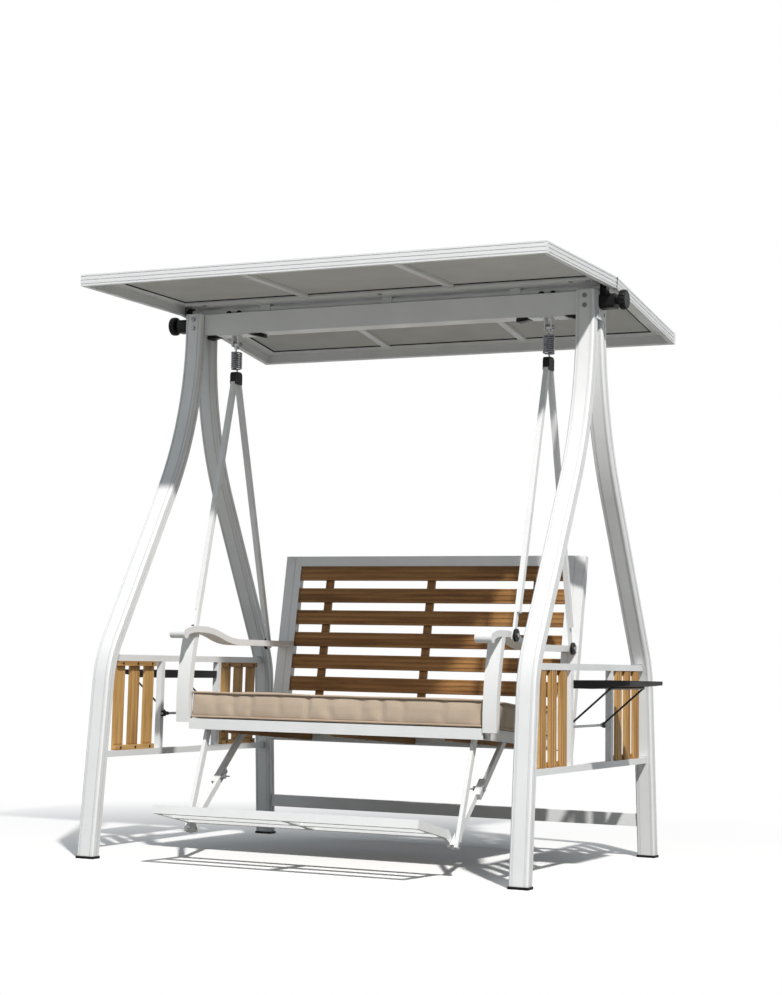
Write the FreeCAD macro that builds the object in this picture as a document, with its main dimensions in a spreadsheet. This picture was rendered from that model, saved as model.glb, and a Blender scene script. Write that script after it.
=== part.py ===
import FreeCAD, Part
import Sketcher
import math
import os
import re

# Garden swing bench: a white aluminium stand with four S curved posts carries a tilting
# canopy, a sprung bench with a footrest, and a folding table on each side.
# Millimetres, +Z up, +X to the right of someone facing the bench, the front is at -Y.
# The origin is on the floor at the middle of the stand's footprint.

SIZES = {
    # Overrun of every cutting tool and clearances shared by many joints.
    "cut_overrun": 20,
    "bolt_clearance": 0.1,
    "pin_clearance": 0.06,
    "seat_clearance": 0.3,
    "slide_clearance": 0.5,
    # Posts: outer spans over the feet, hollow fluted section, S curve, inward lean.
    "foot_span_x": 1520,
    "foot_span_y": 1220,
    "post_width": 60,
    "post_depth": 40,
    "post_wall": 2.5,
    "post_chamfer": 4,
    "post_flute_width": 5,
    "post_flute_depth": 1,
    "post_flute_margin": 8,
    "post_top": 1806,
    "post_lean": 0.95,
    "head_straight": 67.6,
    "leg_angle": 5.4,
    "splay_angle": 31,
    "knee_radius": 300,
    "shoulder_radius": 1060,
    "head_gap": 40,
    "cap_height": 8,
    "cap_rim": 1.5,
    # Top beam, the tongues that lock it between the post heads, bolts, head plates.
    "beam_height": 70,
    "beam_depth": 70,
    "beam_wall": 3,
    "tongue_reach": 110,
    "head_bolt_radius": 4,
    "head_bolt_head_radius": 6.5,
    "head_bolt_head_height": 4,
    "head_bolt_margin": 18,
    "head_bolt_spacing": 30,
    "plate_thickness": 5,
    "plate_half_depth": 38,
    "plate_height": 88,
    "plate_screw_radius": 3,
    "plate_screw_head_radius": 5.5,
    "plate_screw_head_height": 3,
    "plate_screw_rise": 19,
    "plate_screw_offset": 29,
    # Hanger brackets under the beam.
    "hanger_x": 563,
    "hanger_drop": 32,
    "hanger_base_length": 120,
    "hanger_base_depth": 66,
    "hanger_base_thickness": 4,
    "hanger_lug_gap": 18,
    "hanger_lug_thickness": 4,
    "hanger_lug_depth": 28,
    "hanger_lug_edge": 8,
    "hanger_bolt_radius": 4,
    "hanger_bolt_head_radius": 7,
    "hanger_bolt_head_height": 5,
    "dome_radius": 10,
    "dome_shank_radius": 3,
    "dome_offset_x": 19,
    "dome_offset_y": 24,
    # Tilt housings and knobs at the two ends of the pivot tube.
    "tube_radius": 10.5,
    "tube_wall": 2,
    "tube_beam_gap": 2,
    "tube_end_margin": 3,
    "housing_block_length": 48.5,
    "housing_block_depth": 56,
    "housing_block_height": 45,
    "housing_top_drop": 9,
    "housing_ring_radius": 17.5,
    "housing_ring_length": 19,
    "housing_edge": 14,
    "knob_radius": 31,
    "knob_length": 22,
    "knob_rise": 26,
    "knob_gap": 13.5,
    "knob_stem_radius": 6,
    "knob_stem_length": 18,
    "knob_collar_radius": 14,
    "knob_collar_gap": 3,
    "knob_groove_radius": 3,
    "knob_groove_count": 14,
    "knob_edge": 6,
    # Rear crossbar and side frames.
    "crossbar_height": 42,
    "crossbar_depth": 22,
    "crossbar_bottom": 103,
    "side_rail_height": 20,
    "side_rail_depth": 20,
    "side_rail_rise": 113.23,
    "side_frame_height": 328,
    "stile_width": 20,
    "stile_inner_y": 178,
    "side_slat_width": 54,
    "side_slat_gap": 35,
    "side_slat_count": 3,
    "side_slat_thickness": 9,
    "side_slat_stile_gap": 34,
    "side_batten_height": 16,
    "side_batten_thickness": 10,
    "flute_width": 6,
    "flute_depth": 1.5,
    # Canopy: a shallow gable of two framed halves, tipped backwards about the pivot tube.
    "canopy_width": 1570,
    "canopy_depth": 1250,
    "canopy_gable": 4.1,
    "canopy_tip": 3.6,
    "ridge_rise": 31.5,
    "fascia_height": 36,
    "fascia_thickness": 18,
    "fascia_groove_width": 3,
    "fascia_groove_depth": 1.5,
    "ridge_seam": 5,
    "panel_thickness": 4,
    "panel_recess": 2,
    "flange_width": 46,
    "flange_thickness": 3,
    "ridge_rail_width": 82,
    "ridge_rail_height": 11,
    "rib_width": 24,
    "rib_height": 10,
    "rib_x": 260,
    "gasket_width": 5,
    "seal_depth": 10,
    "seal_clearance": 0.3,
    "saddle_length": 36,
    "saddle_depth": 28,
    "saddle_beam_gap": 4.5,
    "saddle_x": 450,
    "saddle_clearance": 0.15,
    "canopy_screw_radius": 2.5,
    "canopy_screw_head_radius": 7,
    "canopy_screw_head_height": 2.5,
    "canopy_screw_end_inset": 66,
    "canopy_screw_y": 66,
    # Hanger eyes and coil springs.
    "eye_radius": 10,
    "eye_neck_radius": 8.4,
    "eye_bottom": 16,
    "spring_height": 78,
    "spring_wire": 5,
    "spring_coil_radius": 17,
    "spring_bend_radius": 5.4,
    "spring_turns": 9,
    # Apex joints, swing bars and their joints on the armrests.
    "apex_length": 22,
    "apex_depth": 46,
    "apex_height": 42,
    "apex_edge": 13,
    "bar_thickness": 16,
    "bar_width": 19,
    "bar_top_y": 10.5,
    "bar_engagement": 18,
    "bar_foot": 16,
    "bar_tongue_length": 72,
    "bar_tongue_thickness": 8,
    "bar_front_y": 241,
    "bar_front_drop": 14,
    "bar_rear_y": 268,
    "bar_rear_drop": 10,
    "joint_cap_radius": 20,
    "joint_cap_thickness": 7,
    "arm_bolt_radius": 4,
    "arm_bolt_head_radius": 7,
    "arm_bolt_head_height": 4,
    "arm_bolt_reach": 25,
    # Armrests and their curved uprights.
    "seat_width": 1110,
    "arm_width": 55,
    "arm_thickness": 20,
    "arm_top": 742,
    "arm_step": 38,
    "arm_front_y": 398,
    "arm_crest_y": 296,
    "arm_dip_y": -30,
    "arm_roll_radius": 16,
    "arm_roll_lip": 14,
    "arm_roll_drop": 9,
    "arm_crest_flat": 30,
    "upright_width": 45,
    "upright_depth": 26,
    "upright_bottom": 432,
    "upright_foot_y": 360,
    "upright_head_y": 324,
    "upright_bow_radius": 800,
    "upright_wall": 2.5,
    # Seat frame, slats and cushion.
    "seat_rail_height": 34,
    "seat_rail_depth": 25,
    "seat_rail_wall": 2.5,
    "seat_bottom": 411,
    "seat_pitch": 3.8,
    "seat_front_y": 355,
    "seat_side_width": 30,
    "seat_side_x": 470,
    "bearer_width": 28,
    "bearer_x": 390,
    "bearer_drop": 9,
    "seat_slat_width": 88,
    "seat_slat_count": 6,
    "seat_slat_thickness": 14,
    "cushion_width": 1016,
    "cushion_front_y": 354,
    "cushion_rear_y": 272,
    "cushion_thickness": 92,
    "cushion_corner": 22,
    "cushion_side_draw": 9,
    "cushion_crown_run": 150,
    # Backrest, reclined about its foot.
    "back_recline": 10,
    "back_length": 653.5,
    "back_foot_y": 280.2,
    "back_foot_z": 362,
    "back_stile_width": 60,
    "back_stile_inner_x": 500,
    "back_stile_wall": 2.5,
    "back_stile_groove_width": 4,
    "back_stile_groove_depth": 1.2,
    "back_stile_groove_inset": 22,
    "back_thickness": 28,
    "back_top_rail": 35,
    "back_bottom_rail": 35,
    "back_slat_width": 49,
    "back_slat_bottom_gap": 62.3,
    "back_slat_count": 7,
    "back_slat_thickness": 14,
    "back_slat_setback": 4,
    "back_batten_width": 28,
    "back_batten_x": 390,
    # Footrest: a V of struts on each side carries a platform on a pivot.
    "strut_thickness": 12,
    "strut_width": 22,
    "strut_end": 12,
    "strut_top_rise": 6,
    "foot_pivot_y": 425,
    "foot_pivot_z": 100,
    "strut_front_y": 307,
    "strut_rear_y": 70,
    "strut_lap": 70,
    "clamp_share_from_pivot": 0.52,
    "strut_bolt_radius": 4,
    "strut_bolt_head_radius": 7,
    "strut_bolt_head_height": 4,
    "platform_slope": 11,
    "platform_back": 29,
    "platform_front": 257,
    "platform_top": 39,
    "platform_rail_height": 26,
    "platform_rail_depth": 20,
    "platform_side_width": 12,
    "platform_mid": 130,
    "platform_rib_width": 20,
    "ear_radius": 13,
    "wing_hub_radius": 8,
    "wing_hub_length": 10,
    "wing_span": 40,
    "wing_height": 12,
    "wing_thickness": 4,
    # Side tables: a tray board on hinge pins and a stay that turns on a rod.
    "table_drop": 57,
    "table_reach": 184,
    "table_inner_edge": 8,
    "table_thickness": 14,
    "table_hinge_depth": 18,
    "table_hinge_run": 70,
    "table_edge_thickness": 12,
    "table_end_gap": 5,
    "table_rim": 8,
    "table_recess": 4,
    "table_pin_radius": 3,
    "table_pin_reach": 10,
    "table_corner": 12,
    "rod_radius": 4,
    "rod_drop": 193,
    "rod_end_inset": 3,
    "clip_width": 14,
    "clip_height": 18,
    "clip_depth": 11,
    "stay_radius": 3.5,
    "stay_leg_radius": 3.2,
    "stay_eye_radius": 6,
    "stay_eye_length": 12,
    "stay_reach": 123,
    "stay_front_y": 164,
    "stay_rear_y": 158,
}

SHEET = "Sizes"
RIGHT = FreeCAD.Vector(1, 0, 0)
BACK = FreeCAD.Vector(0, 1, 0)
UP = FreeCAD.Vector(0, 0, 1)
LEFT = FreeCAD.Vector(-1, 0, 0)
FRONT = FreeCAD.Vector(0, -1, 0)

doc = FreeCAD.newDocument("swing_chair")
sheet = doc.addObject("Spreadsheet::Sheet", SHEET)
for row, (alias, amount) in enumerate(SIZES.items(), start=1):
    sheet.set(f"A{row}", alias)
    sheet.set(f"B{row}", str(amount))
    sheet.setAlias(f"B{row}", alias)
doc.recompute()

NODES = []


# Naming and binding.

def bound(text):
    """Turn the names of sizes in an expression into references to the sheet."""
    return re.sub(r"[a-z]\w*", lambda word: f"{SHEET}.{word[0]}" if word[0] in SIZES else word[0], text)


def number(text):
    """The present value of an expression of named sizes."""
    amount = sheet.evalExpression(bound(text))
    return float(getattr(amount, "Value", amount))


def node(name, piece):
    """Name a finished piece as one node of the object."""
    piece.Label = name
    NODES.append(piece)
    return piece


def place(piece, at, axis=None, angle="0"):
    """Put a piece at a point, turned about an axis, both tied to the sheet."""
    turn = FreeCAD.Rotation(axis, number(angle)) if axis else FreeCAD.Rotation()
    piece.Placement = FreeCAD.Placement(FreeCAD.Vector(*[number(text) for text in at]), turn)
    for field, text in zip("xyz", at):
        piece.setExpression(f"Placement.Base.{field}", bound(text))
    if axis:
        piece.setExpression("Placement.Rotation.Angle", bound(angle))
    return piece


# Solids.

def box(name, size, at, axis=None, angle="0"):
    """A block of three named sizes with its low corner at a point."""
    piece = doc.addObject("Part::Box", name)
    for field, text in zip(("Length", "Width", "Height"), size):
        piece.setExpression(field, bound(text))
    return place(piece, at, axis, angle)


def cylinder(name, radius, length, at, along=UP):
    """A round bar from a point along X, Y or Z."""
    piece = doc.addObject("Part::Cylinder", name)
    piece.setExpression("Radius", bound(radius))
    piece.setExpression("Height", bound(length))
    piece.Placement.Rotation = FreeCAD.Rotation(UP, along)
    for field, text in zip("xyz", at):
        piece.setExpression(f"Placement.Base.{field}", bound(text))
    return piece


def fuse(name, pieces):
    """One solid of several that meet."""
    piece = doc.addObject("Part::MultiFuse", name)
    piece.Shapes = pieces
    return piece


def group(name, pieces):
    """Separate solids kept together."""
    piece = doc.addObject("Part::Compound", name)
    piece.Links = pieces
    return piece


def cut(name, base, tools):
    """A solid with the tools taken out of it."""
    piece = doc.addObject("Part::Cut", name)
    piece.Base = base
    piece.Tool = tools[0] if len(tools) == 1 else group(f"{name}_tools", tools)
    return piece


def mirrored(name, source, normal=RIGHT):
    """The same piece on the other side of a middle plane."""
    piece = doc.addObject("Part::Mirroring", name)
    piece.Source = source
    piece.Normal = normal
    return piece


def pair(name, pieces):
    """The given right hand pieces and their left hand twins, as one group."""
    twins = [mirrored(f"{piece.Name}_twin", piece) for piece in pieces]
    return group(name, pieces + twins)


def sketch_on(body, name, plane, points, arcs=None, closed=True):
    """Draw lines and arcs through named points on an origin plane of a body."""
    sketch = body.newObject("Sketcher::SketchObject", name)
    support = [item for item in body.Origin.OriginFeatures if item.Role == plane][0]
    sketch.AttachmentSupport = [(support, "")]
    sketch.MapMode = "FlatFace"
    arcs = arcs or {}
    spots = [FreeCAD.Vector(number(x), number(y), 0) for x, y in points]
    count = len(points)
    spans = count if closed else count - 1
    rules, ties, ends = [], [], []
    for index in range(spans):
        start, end = spots[index], spots[(index + 1) % count]
        if index in arcs:
            radius, side = arcs[index]
            sketch.addGeometry(arc_of(start, end, number(radius), side))
            ends.append((1, 2) if side > 0 else (2, 1))
            ties.append((len(rules), radius))
            rules.append(Sketcher.Constraint("Radius", index, number(radius)))
        else:
            sketch.addGeometry(Part.LineSegment(start, end))
            ends.append((1, 2))
    for index, (x, y) in enumerate(points):
        span, side = (index, 0) if index < spans else (index - 1, 1)
        for kind, text in (("DistanceX", x), ("DistanceY", y)):
            ties.append((len(rules), text))
            rules.append(Sketcher.Constraint(kind, span, ends[span][side], number(text)))
    for index in range(spans if closed else spans - 1):
        after = (index + 1) % spans
        rules.append(Sketcher.Constraint("Coincident", index, ends[index][1], after, ends[after][0]))
    sketch.addConstraint(rules)
    for rule, text in ties:
        sketch.setExpression(f"Constraints[{rule}]", bound(text))
    return sketch


def arc_of(start, end, radius, side):
    """The short arc between two points, its centre left (1) or right (-1) of the way."""
    chord = end - start
    middle = (start + end) * 0.5
    across = FreeCAD.Vector(-chord.y, chord.x, 0).normalize() * side
    centre = middle + across * math.sqrt(max(radius ** 2 - chord.Length ** 2 / 4, 0))
    angles = [math.atan2(point.y - centre.y, point.x - centre.x) for point in (start, end)]
    return Part.ArcOfCircle(Part.Circle(centre, UP, radius), *(angles if side > 0 else angles[::-1]))


def prism(name, plane, points, length, at, arcs=None, axis=None, angle="0"):
    """A padded outline: along +X from YZ_Plane, -Y from XZ_Plane, +Z from XY_Plane."""
    body = doc.addObject("PartDesign::Body", name)
    sketch = sketch_on(body, f"{name}_outline", plane, points, arcs)
    pad = body.newObject("PartDesign::Pad", f"{name}_pad")
    pad.Profile = sketch
    pad.setExpression("Length", bound(length))
    place(body, at, axis, angle)
    return body


def repeat(body, axis, step, count):
    """Repeat the pad of a body in a row along an axis of its outline."""
    pad = body.Tip
    row = body.newObject("PartDesign::LinearPattern", f"{body.Name}_row")
    body.AllowCompound = True
    row.Originals = [pad]
    row.Direction = (pad.Profile[0], [axis])
    row.setExpression("Length", bound(f"({step}) * ({count} - 1)"))
    row.setExpression("Occurrences", bound(count))
    body.Tip = row
    return body


def fluted(width, thickness, flute, depth, count):
    """Outline of a board, its width along y, with flutes in the face at its thickness."""
    points = [("0", "0"), (thickness, "0")]
    for index in range(count):
        low = f"{width} * {2 * index + 1} / {2 * count} - {flute} / 2"
        high = f"{low} + {flute}"
        floor = f"{thickness} - {depth}"
        points += [(thickness, low), (floor, low), (floor, high), (thickness, high)]
    return points + [(thickness, width), ("0", width)]


def bolt(name, radius, length, head_radius, head_height, at, along, nut=False):
    """A bolt from its seat at a point, with its head before it and maybe a nut after."""
    step = [("0" if part == 0 else f"{part} * ") for part in along]

    def shifted(distance):
        return [f"{text} + {unit}({distance})" if unit != "0" else text for text, unit in zip(at, step)]

    parts = [cylinder(f"{name}_shank", radius, length, at, along)]
    parts.append(cylinder(f"{name}_head", head_radius, head_height, shifted(f"-{head_height}"), along))
    if nut:
        parts.append(cylinder(f"{name}_nut", head_radius, head_height, shifted(length), along))
    return fuse(name, parts)


def tipped(pivot, angle, y, z):
    """A point of a frame that leans back about a pivot, as two expressions for Y and Z."""
    return (f"{pivot[0]} + ({y}) * cos({angle}) + ({z}) * sin({angle})",
            f"{pivot[1]} - ({y}) * sin({angle}) + ({z}) * cos({angle})")


# Stand.

FOOT_X = "(foot_span_x / 2 - post_width / 2)"
FOOT_Y = "(foot_span_y / 2 - post_depth / 2)"
HEAD_Y = "(head_gap / 2 + post_depth / 2)"
BEAM_BOTTOM = "(post_top - beam_height)"
PIVOT_Z = "(post_top + tube_beam_gap + tube_radius)"
HOUSING_TOP = "(post_top - housing_top_drop)"
HOUSING_BOTTOM = f"({HOUSING_TOP} - housing_block_height)"
KNOB_Z = f"({HOUSING_BOTTOM} + knob_rise)"


def post_x(z, side="0"):
    """X of a leaning post at a height: side 1 is its outer face, -1 its inner face."""
    return f"({FOOT_X} + {side} * post_width / 2 / cos(post_lean) - ({z}) * tan(post_lean))"


def leaning(u, w):
    """A point of the leaning side frame as X and Z: across from its middle and up."""
    return (f"{FOOT_X} + ({u}) * cos(post_lean) - ({w}) * sin(post_lean)",
            f"({u}) * sin(post_lean) + ({w}) * cos(post_lean)")


def leaning_box(name, size, u, y, w):
    """A block in the leaning side frame."""
    x, z = leaning(u, w)
    return box(name, size, (x, y, z), FRONT, "post_lean")


HEAD_START_Z = "(post_top - head_straight)"
BEND_Y = f"({HEAD_Y} + shoulder_radius * (1 - cos(splay_angle)))"
BEND_Z = f"({HEAD_START_Z} - shoulder_radius * sin(splay_angle))"
KNEE_RUN = "(knee_radius * (cos(leg_angle) - cos(splay_angle)))"
KNEE_RISE = "(knee_radius * (sin(splay_angle) - sin(leg_angle)))"
SPLAY_RUN = f"(({BEND_Z} - {KNEE_RISE}) * tan(splay_angle) + {BEND_Y})"
LEG_HEIGHT = f"(({SPLAY_RUN} + {KNEE_RUN} - {FOOT_Y}) / (tan(splay_angle) - tan(leg_angle)))"
KNEE_START_Y = f"({FOOT_Y} - {LEG_HEIGHT} * tan(leg_angle))"
KNEE_Y = f"({KNEE_START_Y} - knee_radius * cos(leg_angle))"
KNEE_Z = f"({LEG_HEIGHT} - knee_radius * sin(leg_angle))"
KNEE_END_Y = f"({KNEE_START_Y} - {KNEE_RUN})"
KNEE_END_Z = f"({LEG_HEIGHT} + {KNEE_RISE})"


SIDE_TOP = f"({KNEE_Z} + side_rail_rise)"
TABLE_Z = f"({SIDE_TOP} - table_drop)"
ROD_Z = f"({SIDE_TOP} - rod_drop)"


def leg_face_y(w):
    """Y of the inner face of the straight leg at a height."""
    return f"({FOOT_Y} - ({w}) * tan(leg_angle) - post_depth / 2 / cos(leg_angle))"


def knee_face_y(w):
    """Y of the inner face of the knee bend at a height."""
    return f"({KNEE_Y} + sqrt((knee_radius - post_depth / 2) ^ 2 - (({w}) - {KNEE_Z}) ^ 2))"


def post_section(inset):
    """Outline of the post: chamfered, two flutes front and back, one on each side."""
    a, b = f"(post_width / 2 - {inset})", f"(post_depth / 2 - {inset})"
    out_flute = f"({a} - post_flute_margin)"
    in_flute = f"({out_flute} - post_flute_width)"
    floor = f"({b} - post_flute_depth)"
    half = "post_flute_width / 2"
    quarter = [(a, half), (a, f"{b} - post_chamfer"), (f"{a} - post_chamfer", b),
               (out_flute, b), (out_flute, floor), (in_flute, floor), (in_flute, b)]
    quarter.insert(0, (f"{a} - post_flute_depth", half))
    left = [(f"-({x})", y) for x, y in reversed(quarter)]
    return quarter + left + [(f"-({x})", f"-({y})") for x, y in quarter + left]


def post_core():
    """Outline of the hollow inside a post."""
    a, b = "(post_width / 2 - post_wall)", "(post_depth / 2 - post_wall)"
    return [(f"-{a}", f"-{b}"), (a, f"-{b}"), (a, b), (f"-{a}", b)]


def make_post_body():
    """The rear right post: a fluted tube swept down its S curve, then made hollow."""
    body = doc.addObject("PartDesign::Body", "post_tube")
    route = [(HEAD_Y, "post_top"), (HEAD_Y, HEAD_START_Z), (BEND_Y, BEND_Z), (KNEE_END_Y, KNEE_END_Z),
             (KNEE_START_Y, LEG_HEIGHT), (f"{FOOT_Y} + cut_overrun * tan(leg_angle)", "-cut_overrun")]
    bends = {1: ("shoulder_radius", 1), 3: ("knee_radius", -1)}
    spine = sketch_on(body, "post_spine", "YZ_Plane", route, bends, closed=False)
    edges = [f"Edge{index}" for index in range(1, len(route))]
    for kind, points, name in (("Additive", post_section("0"), "post_skin"),
                               ("Subtractive", post_core(), "post_hollow")):
        section = sketch_on(body, f"{name}_section", "XY_Plane", points)
        section.setExpression("AttachmentOffset.Base.y", bound(HEAD_Y))
        section.setExpression("AttachmentOffset.Base.z", bound("post_top"))
        pipe = body.newObject(f"PartDesign::{kind}Pipe", name)
        pipe.Profile = section
        pipe.Spine = (spine, edges)
    place(body, (FOOT_X, "0", "0"), FRONT, "post_lean")
    return body


def head_bolt_spots():
    """Heights of the two bolts through each pair of post heads."""
    first = "(post_top - head_bolt_margin)"
    return [first, f"({first} - head_bolt_spacing)"]


PLATE_X = f"({post_x('post_top', '1')} + plate_thickness)"
PLATE_BOTTOM = "(post_top - plate_height)"
SCREW_Z = f"({PLATE_BOTTOM} + plate_screw_rise)"


def make_posts():
    """Four hollow posts cut level above their foot caps and drilled at the head."""
    tube = make_post_body()
    ground = box("ground_cut", ("4 * post_width", "4 * post_depth", "cap_height + 2 * cut_overrun"),
                 (f"{FOOT_X} - 2 * post_width", f"{FOOT_Y} - 2 * post_depth", "-2 * cut_overrun"))
    drills = [cylinder(f"post_drill_{index}", "head_bolt_radius + bolt_clearance",
                       "post_depth + 2 * cut_overrun",
                       (post_x(z), f"{HEAD_Y} - post_depth / 2 - cut_overrun", z), BACK)
              for index, z in enumerate(head_bolt_spots())]
    drills.append(cylinder("post_screw_drill", "plate_screw_radius + bolt_clearance",
                           "post_width / 2 + cut_overrun",
                           (post_x(SCREW_Z), "plate_screw_offset", SCREW_Z), RIGHT))
    rear_right = node("post_rear_right", cut("post_rear_right", tube, [ground] + drills))
    front_right = node("post_front_right", mirrored("post_front_right", rear_right, BACK))
    node("post_rear_left", mirrored("post_rear_left", rear_right))
    node("post_front_left", mirrored("post_front_left", front_right))


def make_foot_caps():
    """Black caps that the four posts stand on."""
    length = "post_width + 2 * cap_rim"
    width = "post_depth + 2 * cap_rim"
    rear = box("foot_cap_rear", (length, width, "cap_height"),
               (f"{FOOT_X} - post_width / 2 - cap_rim", f"{FOOT_Y} - post_depth / 2 - cap_rim", "0"))
    front = mirrored("foot_cap_front", rear, BACK)
    node("foot_caps", pair("foot_caps", [rear, front]))


def dome_spots():
    """Places of the bolts that hold one hanger bracket under the beam."""
    return [(f"hanger_x + {i} * dome_offset_x", f"{j} * dome_offset_y") for i in (-1, 1) for j in (-1, 1)]


def make_beam():
    """Hollow beam between the post heads, with the tongues inside its ends."""
    corners = [(post_x(BEAM_BOTTOM, "-1"), BEAM_BOTTOM), (post_x("post_top", "-1"), "post_top")]
    outline = corners + [(f"-{x}", z) for x, z in reversed(corners)]
    shell = prism("beam_shell", "XZ_Plane", outline, "beam_depth", ("0", "beam_depth / 2", "0"))
    core = box("beam_core", ("foot_span_x", "beam_depth - 2 * beam_wall", "beam_height - 2 * beam_wall"),
               ("-foot_span_x / 2", "beam_wall - beam_depth / 2", f"{BEAM_BOTTOM} + beam_wall"))
    drills = [cylinder(f"beam_drill_{index}", "dome_shank_radius + bolt_clearance",
                       "beam_height + 2 * cut_overrun", (x, y, f"{BEAM_BOTTOM} - cut_overrun"))
              for index, (x, y) in enumerate(dome_spots())]
    twins = [mirrored(f"{drill.Name}_twin", drill) for drill in drills]
    node("top_beam", cut("top_beam", shell, [core, group("beam_drills", drills + twins)]))

    low, high = f"({BEAM_BOTTOM} + beam_wall)", "(post_top - beam_wall)"
    start = f"{post_x('post_top', '-1')} - tongue_reach"
    outline = [(start, low), (post_x(low, "1"), low), (post_x(high, "1"), high), (start, high)]
    tongue = prism("tongue_bar", "XZ_Plane", outline, "head_gap", ("0", "head_gap / 2", "0"))
    holes = [cylinder(f"tongue_drill_{index}", "head_bolt_radius + bolt_clearance", "2 * head_gap",
                      (post_x(z), "-head_gap", z), BACK) for index, z in enumerate(head_bolt_spots())]
    node("beam_tongues", pair("beam_tongues", [cut("tongue_right", tongue, holes)]))

    grip = "head_gap + 2 * post_depth"
    bolts = [bolt(f"head_bolt_{index}", "head_bolt_radius", grip, "head_bolt_head_radius",
                  "head_bolt_head_height", (post_x(z), f"-({grip}) / 2", z), BACK, nut=True)
             for index, z in enumerate(head_bolt_spots())]
    node("post_bolts", pair("post_bolts", bolts))


def make_head_plates():
    """Plates on the outer sides of the post heads, straight outside and leaning inside."""
    outline = [(post_x(PLATE_BOTTOM, "1"), PLATE_BOTTOM), (PLATE_X, PLATE_BOTTOM),
               (PLATE_X, "post_top"), (post_x("post_top", "1"), "post_top")]
    plate = prism("plate_blank", "XZ_Plane", outline, "2 * plate_half_depth", ("0", "plate_half_depth", "0"))
    spots = ["-plate_screw_offset", "plate_screw_offset"]
    holes = [cylinder(f"plate_drill_{index}", "plate_screw_radius + bolt_clearance", "2 * cut_overrun",
                      (f"{PLATE_X} - cut_overrun", y, SCREW_Z), RIGHT) for index, y in enumerate(spots)]
    node("head_plates", pair("head_plates", [cut("head_plate", plate, holes)]))
    screws = [bolt(f"plate_screw_{index}", "plate_screw_radius", "2 * plate_thickness",
                   "plate_screw_head_radius", "plate_screw_head_height", (PLATE_X, y, SCREW_Z), LEFT)
              for index, y in enumerate(spots)]
    node("plate_screws", pair("plate_screws", screws))


HANGER_Z = f"({BEAM_BOTTOM} - hanger_drop)"


def make_hanger_brackets():
    """Brackets under the beam, their bolts through the beam and the swing bolts."""
    base_z = f"{BEAM_BOTTOM} - hanger_base_thickness"
    base = box("bracket_base", ("hanger_base_length", "hanger_base_depth", "hanger_base_thickness"),
               ("hanger_x - hanger_base_length / 2", "-hanger_base_depth / 2", base_z))
    lug_height = "hanger_drop - hanger_base_thickness + hanger_lug_edge"
    lugs = [box(f"bracket_lug_{index}", ("hanger_lug_thickness", "hanger_lug_depth", lug_height),
                (x, "-hanger_lug_depth / 2", f"{HANGER_Z} - hanger_lug_edge"))
            for index, x in enumerate(("hanger_x - hanger_lug_gap / 2 - hanger_lug_thickness",
                                       "hanger_x + hanger_lug_gap / 2"))]
    span = "hanger_lug_gap + 2 * hanger_lug_thickness"
    drills = [cylinder("bracket_drill", "hanger_bolt_radius + pin_clearance", "hanger_base_length",
                       ("hanger_x - hanger_base_length / 2", "0", HANGER_Z), RIGHT)]
    drills += [cylinder(f"bracket_drill_{index}", "dome_shank_radius + bolt_clearance", "2 * cut_overrun",
                        (x, y, f"{BEAM_BOTTOM} - cut_overrun")) for index, (x, y) in enumerate(dome_spots())]
    bracket = cut("bracket", fuse("bracket_blank", [base] + lugs), drills)
    node("hanger_brackets", pair("hanger_brackets", [bracket]))

    pin = bolt("hanger_bolt", "hanger_bolt_radius", span, "hanger_bolt_head_radius",
               "hanger_bolt_head_height", (f"hanger_x - ({span}) / 2", "0", HANGER_Z), RIGHT, nut=True)
    node("hanger_bolts", pair("hanger_bolts", [pin]))

    domes = []
    for index, (x, y) in enumerate(dome_spots()):
        cap = doc.addObject("Part::Sphere", f"dome_{index}")
        cap.setExpression("Radius", bound("dome_radius"))
        cap.Angle1 = 0
        place(cap, (x, y, "post_top"))
        shank = cylinder(f"dome_shank_{index}", "dome_shank_radius",
                         "beam_height + hanger_base_thickness",
                         (x, y, base_z))
        domes.append(fuse(f"dome_bolt_{index}", [cap, shank]))
    node("dome_bolts", pair("dome_bolts", domes))


def rounded_block(half, height, edge):
    """Outline of a block from its bottom line up, with four round corners."""
    near, top = f"({half} - {edge})", f"({height} - {edge})"
    return [(f"-{near}", "0"), (near, "0"), (half, edge), (half, top), (near, height), (f"-{near}", height),
            (f"-{half}", top), (f"-{half}", edge)]


def round_corners(edge):
    """The four corner arcs of a rounded block."""
    return {corner: (edge, 1) for corner in (1, 3, 5, 7)}


def make_tilt_housings():
    """Black housings on the head plates: a ring for the pivot tube over a clamp block."""
    half, edge = "(housing_block_depth / 2)", "housing_edge"
    block = prism("housing_block", "YZ_Plane", rounded_block(half, "housing_block_height", edge),
                  "housing_block_length", (PLATE_X, "0", HOUSING_BOTTOM), round_corners(edge))
    web = box("housing_web", ("housing_ring_length", "2 * housing_ring_radius",
                              f"{PIVOT_Z} - {HOUSING_BOTTOM}"),
              (PLATE_X, "-housing_ring_radius", HOUSING_BOTTOM))
    ring = cylinder("housing_ring", "housing_ring_radius", "housing_ring_length",
                    (PLATE_X, "0", PIVOT_Z), RIGHT)
    bore = cylinder("housing_bore", "tube_radius + pin_clearance", "housing_block_length",
                    (f"{PLATE_X} - cut_overrun", "0", PIVOT_Z), RIGHT)
    stem = cylinder("stem_bore", "knob_stem_radius + pin_clearance", "knob_stem_length + cut_overrun",
                    (f"{PLATE_X} + housing_block_length - knob_stem_length", "0", KNOB_Z), RIGHT)
    housing = cut("tilt_housing", fuse("housing_blank", [block, web, ring]), [bore, stem])
    node("tilt_housings", pair("tilt_housings", [housing]))


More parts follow.
